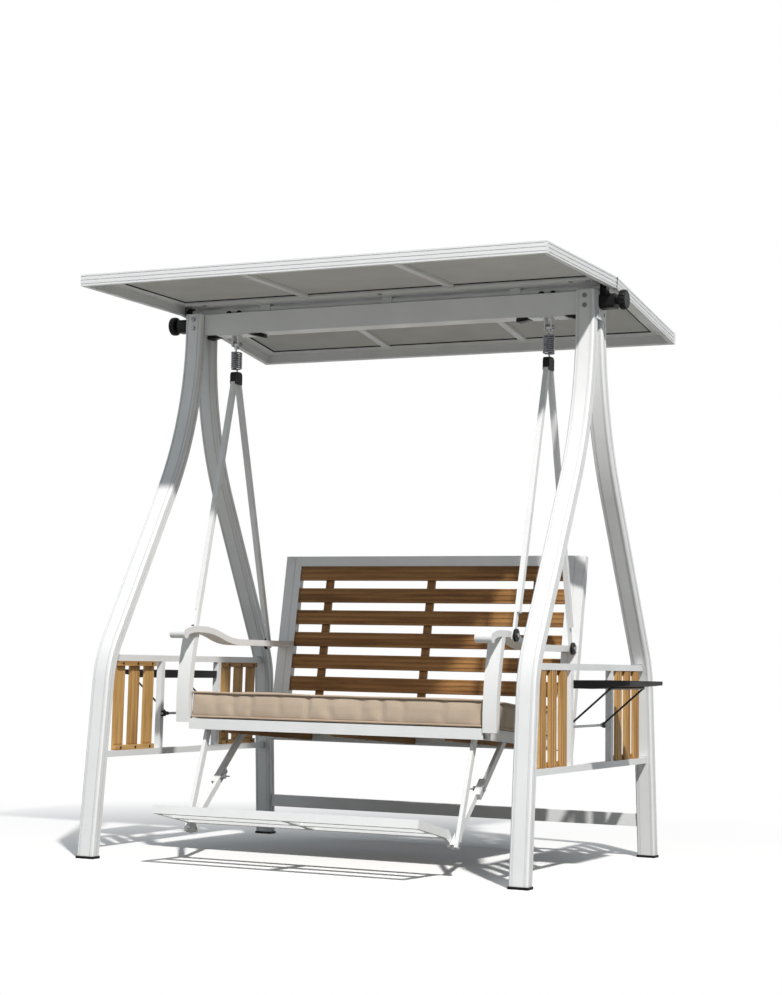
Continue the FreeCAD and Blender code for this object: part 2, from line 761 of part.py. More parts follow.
def make_crossbar():
    """Low bar between the two rear posts."""
    low, high = "crossbar_bottom", "(crossbar_bottom + crossbar_height)"
    corners = [(post_x(low, "-1"), low), (post_x(high, "-1"), high)]
    outline = corners + [(f"-{x}", z) for x, z in reversed(corners)]
    middle = f"({FOOT_Y} - (crossbar_bottom + crossbar_height / 2) * tan(leg_angle))"
    node("rear_crossbar", prism("rear_crossbar", "XZ_Plane", outline, "crossbar_depth",
                                ("0", f"{middle} + crossbar_depth / 2", "0")))


STILE_TOP = f"({SIDE_TOP} - side_rail_height)"
SIDE_BOTTOM = f"({SIDE_TOP} - side_frame_height)"
STILE_BOTTOM = f"({SIDE_BOTTOM} + side_rail_height)"
SLAT_RUN = "(side_slat_width * side_slat_count + side_slat_gap * (side_slat_count - 1))"
SLAT_START = "(stile_inner_y + stile_width + side_slat_stile_gap)"


def make_side_frames():
    """Rails, stiles, slats and battens between the front and rear post of each side."""
    rails = []
    for name, low, face in (("side_rail_low", SIDE_BOTTOM, leg_face_y),
                            ("side_rail_high", STILE_TOP, knee_face_y)):
        high = f"({low} + side_rail_height)"
        outline = [(f"-{face(low)}", low), (face(low), low), (face(high), high), (f"-{face(high)}", high)]
        x, z = leaning("-side_rail_depth / 2", "0")
        rails.append(prism(name, "YZ_Plane", outline, "side_rail_depth", (x, "0", z), axis=FRONT,
                           angle="post_lean"))
    size = ("side_rail_depth", "stile_width", f"{STILE_TOP} - {STILE_BOTTOM}")
    x, z = leaning("0", TABLE_Z)
    drill = cylinder("stile_drill", "table_pin_radius + pin_clearance", "table_pin_reach + cut_overrun",
                     (x, "stile_inner_y - cut_overrun", TABLE_Z), BACK)
    stile = leaning_box("stile_rear", size, "-side_rail_depth / 2", "stile_inner_y", STILE_BOTTOM)
    rear = cut("stile_rear_drilled", stile, [drill])
    front = mirrored("stile_front_drilled", rear, BACK)
    node("side_frames", pair("side_frames", rails + [rear, front]))

    inner = "(side_batten_thickness - side_rail_depth / 2)"
    x, z = leaning(inner, STILE_BOTTOM)
    slats = prism("side_slat", "XY_Plane",
                  fluted("side_slat_width", "side_slat_thickness", "flute_width", "flute_depth", 3),
                  size[2], (x, SLAT_START, z), axis=FRONT, angle="post_lean")
    repeat(slats, "V_Axis", "side_slat_width + side_slat_gap", "side_slat_count")
    node("side_slats", pair("side_slats", [slats, mirrored("side_slat_front", slats, BACK)]))

    size = ("side_batten_thickness", SLAT_RUN, "side_batten_height")
    battens = [leaning_box(f"side_batten_{index}", size, "-side_rail_depth / 2", SLAT_START, w)
               for index, w in enumerate((STILE_BOTTOM, f"{STILE_TOP} - side_batten_height"))]
    fronts = [mirrored(f"{batten.Name}_front", batten, BACK) for batten in battens]
    node("side_battens", pair("side_battens", battens + fronts))


# Canopy.

RIDGE = ("ridge_rise * sin(canopy_tip)", f"({PIVOT_Z} + ridge_rise * cos(canopy_tip))")
HALVES = (("rear", "1", "(canopy_gable + canopy_tip)"), ("front", "-1", "(canopy_tip - canopy_gable)"))
HALF_RUN = "(canopy_depth / 2)"
PANEL_UNDER = "(panel_recess + panel_thickness)"
INNER_HALF_WIDTH = "(canopy_width / 2 - fascia_thickness)"
PANEL_RUN = f"({HALF_RUN} - fascia_thickness - ridge_seam)"


def roof_box(name, half, size, x, run, depth):
    """A block of one roof half: from a run off the ridge outwards, its top at a depth."""
    sign, slope = half[1], half[2]
    start = run if sign == "1" else f"-({run}) - ({size[1]})"
    y, z = tipped(RIDGE, slope, start, f"-({depth}) - ({size[2]})")
    return box(f"{name}_{half[0]}", size, (x, y, z), LEFT, slope)


def make_canopy_frame():
    """Grooved eave and side rails round two panels, with flanges, gaskets and ribs."""
    eaves, sides, panels, flanges, gaskets, ribs = [], [], [], [], [], []
    grooves = fluted("fascia_height", "fascia_thickness", "fascia_groove_width", "fascia_groove_depth", 3)
    for half in HALVES:
        name, sign, slope = half
        y, z = tipped(RIDGE, slope, f"{sign} * ({HALF_RUN} - fascia_thickness)", "-fascia_height")
        outline = [(f"{sign} * ({across})", up) for across, up in grooves]
        eaves.append(prism(f"eave_{name}", "YZ_Plane", outline, "canopy_width",
                           ("-canopy_width / 2", y, z), axis=LEFT, angle=slope))
        end = f"({HALF_RUN} - fascia_thickness)" if sign == "1" else "-ridge_seam"
        y, z = tipped(RIDGE, slope, end, "-fascia_height")
        sides.append(prism(f"side_{name}", "XZ_Plane", grooves, PANEL_RUN,
                           (INNER_HALF_WIDTH, y, z), axis=LEFT, angle=slope))
        panels.append(roof_box("panel", half, (f"2 * {INNER_HALF_WIDTH}", PANEL_RUN, "panel_thickness"),
                               f"-{INNER_HALF_WIDTH}", "ridge_seam", "panel_recess"))
        flanges += make_flanges(half)
        gaskets += make_gaskets(half)
        start = "ridge_seam + ridge_rail_width + gasket_width"
        run = f"{PANEL_RUN} - ridge_rail_width - flange_width - 2 * gasket_width"
        ribs += [roof_box(f"rib_{index}", half, ("rib_width", run, "rib_height"), x, start, PANEL_UNDER)
                 for index, x in enumerate(("rib_x - rib_width / 2", "-rib_x - rib_width / 2"))]
    rails = eaves + sides + [mirrored(f"{side.Name}_twin", side) for side in sides]
    node("canopy_rails", group("canopy_rails", rails))
    node("canopy_panels", group("canopy_panels", panels))
    node("canopy_flanges", group("canopy_flanges", flanges))
    node("canopy_gaskets", group("canopy_gaskets", gaskets))
    node("canopy_ribs", group("canopy_ribs", ribs))


def make_flanges(half):
    """Flat strips under the panel along the eave and both ends."""
    side_run = f"({PANEL_RUN} - flange_width)"
    eave_start = f"(ridge_seam + {side_run})"
    strips = [roof_box("flange_eave", half, (f"2 * {INNER_HALF_WIDTH}", "flange_width", "flange_thickness"),
                       f"-{INNER_HALF_WIDTH}", eave_start, PANEL_UNDER)]
    for name, x in (("right", f"{INNER_HALF_WIDTH} - flange_width"), ("left", f"-{INNER_HALF_WIDTH}")):
        strips.append(roof_box(f"flange_{name}", half, ("flange_width", side_run, "flange_thickness"),
                               x, "ridge_seam", PANEL_UNDER))
    return strips


def make_gaskets(half):
    """Black seal strips along the inner edges of the flanges and of the ridge rail."""
    width = f"2 * ({INNER_HALF_WIDTH} - flange_width)"
    start_x = f"flange_width - {INNER_HALF_WIDTH}"
    rail_end = "(ridge_seam + ridge_rail_width)"
    eave_start = f"(ridge_seam + {PANEL_RUN} - flange_width - gasket_width)"
    strips = [roof_box("gasket_ridge", half, (width, "gasket_width", "flange_thickness"), start_x,
                       rail_end, PANEL_UNDER),
              roof_box("gasket_eave", half, (width, "gasket_width", "flange_thickness"), start_x,
                       eave_start, PANEL_UNDER)]
    run = f"{eave_start} - {rail_end} - gasket_width"
    for name, x in (("left", start_x), ("right", f"-({start_x}) - gasket_width")):
        strips.append(roof_box(f"gasket_{name}", half, ("gasket_width", run, "flange_thickness"), x,
                               f"{rail_end} + gasket_width", PANEL_UNDER))
    return strips


def make_ridge():
    """Ridge rails with their screws, the black seal between the halves and its end clips."""
    rails, screws = [], []
    half_length = f"({INNER_HALF_WIDTH} - flange_width)"
    screw_x = f"({half_length} - canopy_screw_end_inset)"
    under = f"({PANEL_UNDER} + ridge_rail_height)"
    for half in HALVES:
        name, sign, slope = half
        rail = roof_box("ridge_rail", half, (f"2 * {half_length}", "ridge_rail_width", "ridge_rail_height"),
                        f"-{half_length}", "ridge_seam", PANEL_UNDER)
        drills = []
        for index, x in enumerate((f"-{screw_x}", "0", screw_x)):
            y, z = tipped(RIDGE, slope, f"{sign} * canopy_screw_y", f"-{under}")
            head_y, head_z = tipped(RIDGE, slope, f"{sign} * canopy_screw_y",
                                    f"-{under} - canopy_screw_head_height")
            hole = cylinder(f"ridge_drill_{name}_{index}", "canopy_screw_radius + bolt_clearance",
                            "ridge_rail_height", (x, y, z))
            drills.append(place(hole, (x, y, z), LEFT, slope))
            shank = cylinder(f"ridge_shank_{name}_{index}", "canopy_screw_radius", "ridge_rail_height",
                             (x, y, z))
            place(shank, (x, y, z), LEFT, slope)
            head = cylinder(f"ridge_head_{name}_{index}", "canopy_screw_head_radius",
                            "canopy_screw_head_height", (x, head_y, head_z))
            place(head, (x, head_y, head_z), LEFT, slope)
            screws.append(fuse(f"ridge_screw_{name}_{index}", [shank, head]))
        rails.append(cut(f"ridge_rail_{name}_drilled", rail, drills))
    node("ridge_rails", group("ridge_rails", rails))
    node("canopy_screws", group("canopy_screws", screws))

    strips = []
    y, z = tipped(RIDGE, "canopy_tip", "0", "0")
    for name, depth, length, x in (("seal", "seal_depth", "canopy_width - 2 * fascia_thickness",
                                    f"-{INNER_HALF_WIDTH}"),
                                   ("clip_right", "fascia_height", "fascia_thickness", INNER_HALF_WIDTH),
                                   ("clip_left", "fascia_height", "fascia_thickness", "-canopy_width / 2")):
        top = "ridge_seam * cos(canopy_gable) - seal_clearance"
        low = f"{top} - {depth} * sin(canopy_gable)"
        outline = [(f"-({low})", f"-{depth}"), (low, f"-{depth}"), (top, "0"), (f"-({top})", "0")]
        strips.append(prism(f"ridge_strip_{name}", "YZ_Plane", outline, length, (x, y, z), axis=LEFT,
                            angle="canopy_tip"))
    node("ridge_seal", group("ridge_seal", strips))


def make_pivot_tube():
    """Tube that the canopy turns with, held to the ridge rails by three saddles."""
    end = f"({PLATE_X} + housing_ring_length + tube_end_margin)"
    tube = cylinder("tube_skin", "tube_radius", f"2 * {end}", (f"-{end}", "0", PIVOT_Z), RIGHT)
    bore = cylinder("tube_bore", "tube_radius - tube_wall", f"2 * {end} + 2 * cut_overrun",
                    (f"-{end} - cut_overrun", "0", PIVOT_Z), RIGHT)
    node("pivot_tube", cut("pivot_tube", tube, [bore]))

    rail_under = "(ridge_rise - (panel_recess + panel_thickness + ridge_rail_height) / cos(canopy_gable))"
    top = f"({rail_under} - saddle_depth / 2 * tan(canopy_gable))"
    below = "(tube_radius + tube_beam_gap - saddle_beam_gap)"
    saddles = []
    for index, x in enumerate(("-saddle_x", "0", "saddle_x")):
        y, z = tipped(("0", PIVOT_Z), "canopy_tip", "-saddle_depth / 2", f"-{below}")
        block = box(f"saddle_block_{index}", ("saddle_length", "saddle_depth", f"{below} + {top}"),
                    (f"{x} - saddle_length / 2", y, z), LEFT, "canopy_tip")
        hole = cylinder(f"saddle_bore_{index}", "tube_radius + saddle_clearance",
                        "saddle_length + 2 * cut_overrun",
                        (f"{x} - saddle_length / 2 - cut_overrun", "0", PIVOT_Z), RIGHT)
        saddles.append(cut(f"saddle_{index}", block, [hole]))
    node("tube_saddles", group("tube_saddles", saddles))


def make_tilt_knobs():
    """Ribbed clamp knob with its stem at each end of the pivot."""
    start = f"({PLATE_X} + housing_block_length + knob_gap)"
    disc = cylinder("knob_disc", "knob_radius", "knob_length", (start, "0", KNOB_Z), RIGHT)
    rounded = doc.addObject("Part::Fillet", "knob_rounded")
    rounded.Base = disc
    doc.recompute()
    rims = [index for index, edge in enumerate(disc.Shape.Edges, start=1) if edge.isClosed()]
    rounded.Edges = [(index, number("knob_edge"), number("knob_edge")) for index in rims]
    grooves = []
    for index in range(int(number("knob_groove_count"))):
        turn = f"{index} * 360 / knob_groove_count"
        grooves.append(cylinder(f"knob_groove_{index}", "knob_groove_radius", "knob_length",
                                (start, f"knob_radius * sin({turn})",
                                 f"{KNOB_Z} + knob_radius * cos({turn})"), RIGHT))
    stem = cylinder("knob_stem", "knob_stem_radius", "knob_stem_length + knob_gap + knob_edge",
                    (f"{start} - knob_gap - knob_stem_length", "0", KNOB_Z), RIGHT)
    collar = cylinder("knob_collar", "knob_collar_radius", "knob_gap - knob_collar_gap + knob_edge",
                      (f"{start} - knob_gap + knob_collar_gap", "0", KNOB_Z), RIGHT)
    pieces = [cut("knob_ribbed", rounded, grooves), collar, stem]
    right = node("tilt_knob_right", fuse("tilt_knob_right", pieces))
    node("tilt_knob_left", mirrored("tilt_knob_left", right))


# Hangers.

SPRING_TOP = f"({HANGER_Z} - eye_bottom)"
APEX_TOP = f"({SPRING_TOP} - spring_height)"


def make_hanger_eyes():
    """Eyes that swing on the hanger bolts, each with a flat neck for its spring."""
    width = "(hanger_lug_gap - 2 * slide_clearance)"
    ring = cylinder("eye_ring", "eye_radius", width, (f"hanger_x - {width} / 2", "0", HANGER_Z), RIGHT)
    neck = cylinder("eye_neck", "eye_neck_radius", "eye_bottom", ("hanger_x", "0", SPRING_TOP))
    bore = cylinder("eye_bore", "hanger_bolt_radius + pin_clearance", "hanger_base_length",
                    ("hanger_x - hanger_base_length / 2", "0", HANGER_Z), RIGHT)
    node("hanger_eyes", pair("hanger_eyes", [cut("hanger_eye", fuse("eye_blank", [ring, neck]), [bore])]))


def biarc(start, start_way, end, end_way):
    """Two tangent arcs from one point and heading to another."""
    span = end - start
    ways = start_way + end_way
    spread = 2 * (1 - start_way.dot(end_way))
    along = span.dot(ways)
    reach = (math.sqrt(along ** 2 + spread * span.dot(span)) - along) / spread
    first = start + start_way * reach
    second = end - end_way * reach
    joint = (first + second) * 0.5
    return [bend(start, first, joint), bend(joint, second, end)]


def bend(start, corner, end):
    """Arc from start to end that is tangent to both legs of their corner."""
    middle = (start + end) * 0.5
    half = (end - start).Length / 2
    leg = (corner - start).Length
    return Part.Arc(start, middle + (corner - middle) * (half / (half + leg)), end).toShape()


def spring_path():
    """Points and headings of one spring, from its upper end down its axis, about its middle."""
    radius, lead = number("spring_coil_radius"), number("spring_bend_radius")
    wire, turns = number("spring_wire"), int(number("spring_turns"))
    half = number("spring_height") / 2
    top = half - wire - lead
    coil = top - radius * math.sin(math.atan2(top, math.pi * radius * turns)) / 2
    slope = math.atan2(2 * coil, 2 * math.pi * radius * turns)
    level, drop = math.cos(slope), math.sin(slope)
    lead_in = [(FreeCAD.Vector(0, -lead, half - wire), -UP),
               (FreeCAD.Vector(0, 0, top), FreeCAD.Vector(0, level, -drop))]
    steps = 4 * turns
    helix = []
    for step in range(steps + 1):
        turn = -math.pi / 2 * step
        spot = FreeCAD.Vector(radius * math.cos(turn), radius * math.sin(turn), coil * (1 - 2 * step / steps))
        helix.append((spot, FreeCAD.Vector(level * math.sin(turn), -level * math.cos(turn), -drop)))
    lead_out = [(FreeCAD.Vector(spot.x, -spot.y, -spot.z), FreeCAD.Vector(-way.x, way.y, way.z))
                for spot, way in reversed(lead_in)]
    return lead_in + helix + lead_out


def make_springs():
    """Two coil springs, each one unbroken wire between its eye and its apex joint."""
    path = spring_path()
    wire = number("spring_wire")
    edges = [Part.LineSegment(path[0][0] + UP * wire, path[0][0]).toShape()]
    for (start, start_way), (end, end_way) in zip(path, path[1:]):
        edges += biarc(start, start_way, end, end_way)
    edges.append(Part.LineSegment(path[-1][0], path[-1][0] - UP * wire).toShape())
    spine = Part.Wire(edges)
    ring = Part.Wire([Part.Circle(path[0][0] + UP * wire, UP, wire / 2).toShape()])
    solid = spine.makePipeShell([ring], True, False)
    coil = doc.addObject("Part::Feature", "spring_right")
    coil.Shape = solid if solid.ShapeType == "Solid" else Part.Solid(solid)
    place(coil, ("hanger_x", "0", f"{SPRING_TOP} - spring_height / 2"))
    print(f"spring: length {spine.Length:.1f} mm, least gap to itself {self_gap(spine, wire):.2f} mm")
    node("springs", pair("springs", [coil]))


def self_gap(spine, wire):
    """Least gap between stretches of a wire that lie over three wire sizes apart along it."""
    count = int(spine.Length / (wire / 2))
    points = spine.discretize(Number=count)
    skip = int(3 * wire / (spine.Length / count)) + 1
    nearest = min((points[i] - points[j]).Length for i in range(count) for j in range(i + skip, count))
    return nearest - wire


# Swing.

APEX_BOTTOM = f"({APEX_TOP} - apex_height)"
BAR_TOP_Z = f"({APEX_BOTTOM} + bar_engagement)"
ARM_OUTER = "(seat_width / 2)"
ARM_REAR_TOP = "(arm_top - arm_step)"
BAR_SPOTS = (("front", "-bar_front_y", "(arm_top - bar_front_drop)", "-bar_top_y"),
             ("rear", "bar_rear_y", f"({ARM_REAR_TOP} - bar_rear_drop)", "bar_top_y"))


def make_swing_bars():
    """Two bars on each side, from the apex joint down to the outside of the armrest."""
    bars = []
    for name, y, z, top_y in BAR_SPOTS:
        run, rise = f"({top_y} - ({y}))", f"({BAR_TOP_Z} - {z})"
        lean = f"atan2({run}; {rise})"
        length = f"sqrt({run} ^ 2 + {rise} ^ 2) + bar_foot"
        low_y, low_z = tipped((y, z), lean, "-bar_width / 2", "-bar_foot")
        size = ("bar_thickness", "bar_width", length)
        bar = box(f"bar_{name}", size, (ARM_OUTER, low_y, low_z), LEFT, lean)
        hole = cylinder(f"bar_{name}_hole", "arm_bolt_radius + bolt_clearance", "2 * bar_thickness",
                        (f"{ARM_OUTER} - bar_thickness / 2", y, z), RIGHT)
        low_y, low_z = tipped((y, z), lean, "-bar_width", "-bar_foot - cut_overrun")
        size = ("bar_thickness", "2 * bar_width", "bar_foot + cut_overrun + bar_tongue_length")
        corner = (f"{ARM_OUTER} + bar_tongue_thickness", low_y, low_z)
        relief = box(f"bar_{name}_relief", size, corner, LEFT, lean)
        bars.append(cut(f"swing_bar_{name}", bar, [hole, relief]))
    node("swing_bars", pair("swing_bars", bars))

    half, top = "(apex_depth / 2)", "(apex_height - apex_edge)"
    outline = [(f"-{half}", "0"), (half, "0"), (half, top), (f"{half} - apex_edge", "apex_height"),
               (f"apex_edge - {half}", "apex_height"), (f"-{half}", top)]
    block = prism("apex_block", "YZ_Plane", outline, "apex_length",
                  ("hanger_x - apex_length / 2", "0", APEX_BOTTOM),
                  {2: ("apex_edge", 1), 4: ("apex_edge", 1)})
    node("apex_joints", pair("apex_joints", [cut("apex_joint", block, bars)]))

    caps, bolts = [], []
    outside = f"({ARM_OUTER} + bar_tongue_thickness)"
    for name, y, z, _ in BAR_SPOTS:
        disc = cylinder(f"joint_disc_{name}", "joint_cap_radius", "joint_cap_thickness",
                        (outside, y, z), RIGHT)
        hole = cylinder(f"joint_hole_{name}", "arm_bolt_radius + bolt_clearance", "2 * cut_overrun",
                        (f"{outside} - cut_overrun", y, z), RIGHT)
        caps.append(cut(f"joint_cap_{name}", disc, [hole]))
        grip = "bar_tongue_thickness + joint_cap_thickness + arm_bolt_reach"
        bolts.append(bolt(f"arm_bolt_{name}", "arm_bolt_radius", grip, "arm_bolt_head_radius",
                          "arm_bolt_head_height", (f"{outside} + joint_cap_thickness", y, z), LEFT))
    node("arm_joint_caps", pair("arm_joint_caps", caps))
    node("arm_bolts", pair("arm_bolts", bolts))


def back_face_y(z):
    """Y of the front face of the backrest at a height."""
    return f"(back_foot_y + (({z}) - back_foot_z) * tan(back_recline))"


def make_armrests():
    """Wave shaped armrests with a rolled front, and the bowed uprights under them."""
    inner = f"({ARM_OUTER} - arm_width)"
    middle_y = "(arm_dip_y - arm_crest_y) / 2"
    radius = "((arm_dip_y + arm_crest_y) ^ 2 + arm_step ^ 2) / (4 * arm_step)"
    front_y = "(arm_crest_y + arm_crest_flat)"
    roll_z = "(arm_top - arm_roll_drop - arm_roll_radius)"
    lip_y, lip_z = "(arm_front_y - arm_roll_lip)", "(arm_top - arm_roll_drop - arm_thickness)"
    over = f"((arm_front_y - {front_y}) ^ 2 + arm_roll_drop ^ 2) / (2 * arm_roll_drop)"
    below = f"(({lip_y} - {front_y}) ^ 2 + arm_roll_drop ^ 2) / (2 * arm_roll_drop)"
    top = [("-arm_crest_y", "arm_top"), (middle_y, "arm_top - arm_step / 2"), ("arm_dip_y", ARM_REAR_TOP),
           (back_face_y(ARM_REAR_TOP), ARM_REAR_TOP)]
    under = [(back_face_y(f"{ARM_REAR_TOP} - arm_thickness"), f"{ARM_REAR_TOP} - arm_thickness"),
             ("arm_dip_y", f"{ARM_REAR_TOP} - arm_thickness"),
             (middle_y, "arm_top - arm_step / 2 - arm_thickness"),
             ("-arm_crest_y", "arm_top - arm_thickness"),
             (f"-{front_y}", "arm_top - arm_thickness"), (f"-{lip_y}", lip_z)]
    roll = [(f"-{lip_y}", f"{roll_z} - sqrt(arm_roll_radius ^ 2 - arm_roll_lip ^ 2)"),
            ("-arm_front_y", f"{roll_z} - arm_roll_radius"), ("-arm_front_y - arm_roll_radius", roll_z),
            ("-arm_front_y", f"{roll_z} + arm_roll_radius"), (f"-{front_y}", "arm_top")]
    arcs = {0: (radius, -1), 1: (radius, 1), 5: (radius, -1), 6: (radius, 1), 8: (below, 1),
            10: ("arm_roll_radius", -1), 11: ("arm_roll_radius", -1), 12: ("arm_roll_radius", -1),
            13: (over, -1)}
    arm = prism("arm_wave", "YZ_Plane", top + under + roll, "arm_width", (inner, "0", "0"), arcs)
    holes = [cylinder(f"arm_hole_{name}", "arm_bolt_radius + bolt_clearance", "arm_bolt_reach + cut_overrun",
                      (f"{ARM_OUTER} - arm_bolt_reach", y, z), RIGHT) for name, y, z, _ in BAR_SPOTS]
    right = node("armrest_right", cut("armrest_right", arm, holes))
    node("armrest_left", mirrored("armrest_left", right))

    skin = upright_bar("arm_upright", "0")
    core = upright_bar("arm_upright_core", "upright_wall")
    node("arm_uprights", pair("arm_uprights", [cut("arm_upright_tube", skin, [core])]))


def upright_bar(name, inset):
    """A bowed bar under the armrest, set in from its four sides and its top."""
    top = f"arm_top - arm_thickness - {inset}"
    near, far = inset, f"upright_depth - {inset}"
    outline = [(f"{near} - upright_foot_y", "upright_bottom"), (f"{far} - upright_foot_y", "upright_bottom"),
               (f"{far} - upright_head_y", top), (f"{near} - upright_head_y", top)]
    return prism(name, "YZ_Plane", outline, f"upright_width - 2 * {inset}",
                 (f"{ARM_OUTER} - upright_width + {inset}", "0", "0"),
                 {1: ("upright_bow_radius", -1), 3: ("upright_bow_radius", 1)})


SEAT_TOP = "(seat_bottom + seat_rail_height)"
SEAT_INNER_FRONT = "(seat_front_y - seat_rail_depth)"


def seat_fall(z, y):
    """Height at a depth of a line of the seat that starts at the front rail and falls to the back."""
    return f"(({z}) - (({y}) + {SEAT_INNER_FRONT}) * tan(seat_pitch))"


def seat_rear(z):
    """Where such a line meets the front face of the backrest, as expressions for Y and Z."""
    run = f"(back_foot_y - back_foot_z * tan(back_recline) + {SEAT_INNER_FRONT})"
    height = f"((({z}) - {run} * tan(seat_pitch)) / (1 + tan(back_recline) * tan(seat_pitch)))"
    return back_face_y(height), height


SEAT_INNER_REAR = f"({seat_rear('seat_bottom')[0]} - seat_rail_depth)"
FRONT_RAIL_END = f"({ARM_OUTER} - upright_width)"
STRUT_FRONT_TOP, STRUT_REAR_TOP = [(y, seat_fall("seat_bottom + strut_top_rise", y))
                                   for y in ("-strut_front_y", "-strut_rear_y")]


def make_seat():
    """Seat frame that falls to the back, its bearers and the slats that lie flush between the rails."""
    front = box("seat_front_rail", (f"2 * {FRONT_RAIL_END}", "seat_rail_depth", "seat_rail_height"),
                (f"-{FRONT_RAIL_END}", "-seat_front_y", "seat_bottom"))
    core = box("seat_front_core", (f"2 * {FRONT_RAIL_END} + 2 * cut_overrun",
                                   "seat_rail_depth - 2 * seat_rail_wall",
                                   "seat_rail_height - 2 * seat_rail_wall"),
               (f"-{FRONT_RAIL_END} - cut_overrun", "seat_rail_wall - seat_front_y",
                "seat_bottom + seat_rail_wall"))
    front = cut("seat_front_tube", front, [core])
    slanted = [seat_rear("seat_bottom"), seat_rear(SEAT_TOP)]
    outline = [(SEAT_INNER_REAR, seat_fall("seat_bottom", SEAT_INNER_REAR)), *slanted,
               (SEAT_INNER_REAR, seat_fall(SEAT_TOP, SEAT_INNER_REAR))]
    rear = prism("seat_rear_rail", "YZ_Plane", outline, "2 * seat_side_x", ("-seat_side_x", "0", "0"))
    outline = [(f"-{SEAT_INNER_FRONT}", "seat_bottom"), *slanted, (f"-{SEAT_INNER_FRONT}", SEAT_TOP)]
    side = prism("seat_side", "YZ_Plane", outline, "seat_side_width", ("seat_side_x", "0", "0"))
    holes = [cylinder(f"seat_hole_{index}", "strut_bolt_radius + bolt_clearance", "2 * seat_side_width",
                      ("seat_side_x - seat_side_width / 2", *spot), RIGHT)
             for index, spot in enumerate((STRUT_FRONT_TOP, STRUT_REAR_TOP))]
    right = cut("seat_side_rail", side, holes)
    node("seat_rails", group("seat_rails", [front, rear, right, mirrored("seat_side_rail_twin", right)]))

    under = f"({SEAT_TOP} - seat_slat_thickness / cos(seat_pitch))"
    low = "(seat_bottom - bearer_drop)"
    outline = [(f"-{SEAT_INNER_FRONT}", low), (SEAT_INNER_REAR, seat_fall(low, SEAT_INNER_REAR)),
               (SEAT_INNER_REAR, seat_fall(under, SEAT_INNER_REAR)), (f"-{SEAT_INNER_FRONT}", under)]
    middle, right = [prism(f"bearer_{name}", "YZ_Plane", outline, "bearer_width",
                           (f"{x} - bearer_width / 2", "0", "0"))
                     for name, x in (("middle", "0"), ("right", "bearer_x"))]
    node("seat_bearers", group("seat_bearers", [middle, right, mirrored("bearer_left", right)]))

    level_run = f"({SEAT_INNER_FRONT} + {SEAT_INNER_REAR} - seat_slat_thickness * sin(seat_pitch))"
    step = f"({level_run} / cos(seat_pitch) - seat_slat_width) / (seat_slat_count - 1)"
    outline = [("0", "0"), ("seat_slat_width", "0"), ("seat_slat_width", "seat_slat_thickness"),
               ("0", "seat_slat_thickness")]
    slats = prism("seat_slats", "YZ_Plane", outline, "2 * seat_side_x",
                  ("-seat_side_x", f"-{SEAT_INNER_FRONT}", under), axis=LEFT, angle="seat_pitch")
    node("seat_slats", repeat(slats, "H_Axis", step, "seat_slat_count"))


CUSHION_RINGS_SHARES = ((0.0, 0.7, 0.0), (0.12, 0.1, 0.0), (0.42, 0.0, 0.0), (0.68, 0.15, 0.0),
                        (0.80, 0.9, 0.0), (0.92, 1.2, 0.35), (1.0, 1.2, 1.0))


def make_cushion():
    """Seat cushion: sides drawn in at the seams and a crowned top."""
    half_x = number("cushion_width") / 2
    half_y = (number("cushion_front_y") + number("cushion_rear_y")) / 2
    wires = []
    for height_share, draw_share, crown_share in CUSHION_RINGS_SHARES:
        inset = number("cushion_side_draw") * draw_share + number("cushion_crown_run") * crown_share
        wires.append(rounded_ring(half_x - inset, half_y - inset, number("cushion_corner"),
                                  number("cushion_thickness") * height_share))
    cushion = doc.addObject("Part::Feature", "seat_cushion")
    cushion.Shape = Part.makeLoft(wires, True, True)
    middle_y = "((cushion_rear_y - cushion_front_y) / 2)"
    bed_z = f"{seat_fall(SEAT_TOP, middle_y)} + seat_clearance / cos(seat_pitch)"
    place(cushion, ("0", middle_y, bed_z), LEFT, "seat_pitch")
    node("seat_cushion", cushion)


def rounded_ring(half_x, half_y, radius, z):
    """A level rectangle with round corners, as lines and quarter arcs."""
    edges = []
    cosine = math.cos(math.pi / 4)
    corners = ((1, 1), (-1, 1), (-1, -1), (1, -1))
    for (sx, sy), (nx, ny) in zip(corners, corners[1:] + corners[:1]):
        centre = FreeCAD.Vector(sx * (half_x - radius), sy * (half_y - radius), z)
        after = FreeCAD.Vector(nx * (half_x - radius), ny * (half_y - radius), z)
        flat, steep = FreeCAD.Vector(sx * radius, 0, 0), FreeCAD.Vector(0, sy * radius, 0)
        start, end = (flat, steep) if sx * sy > 0 else (steep, flat)
        edges.append(Part.Arc(centre + start, centre + (flat + steep) * cosine, centre + end).toShape())
        edges.append(Part.LineSegment(centre + end, after + end).toShape())
    return Part.Wire(edges)


BACK_FOOT = ("back_foot_y", "back_foot_z")


def back_box(name, size, x, depth, rise):
    """A block of the reclined backrest: behind its front face and up from its foot."""
    y, z = tipped(BACK_FOOT, "back_recline", depth, rise)
    return box(name, size, (x, y, z), LEFT, "back_recline")


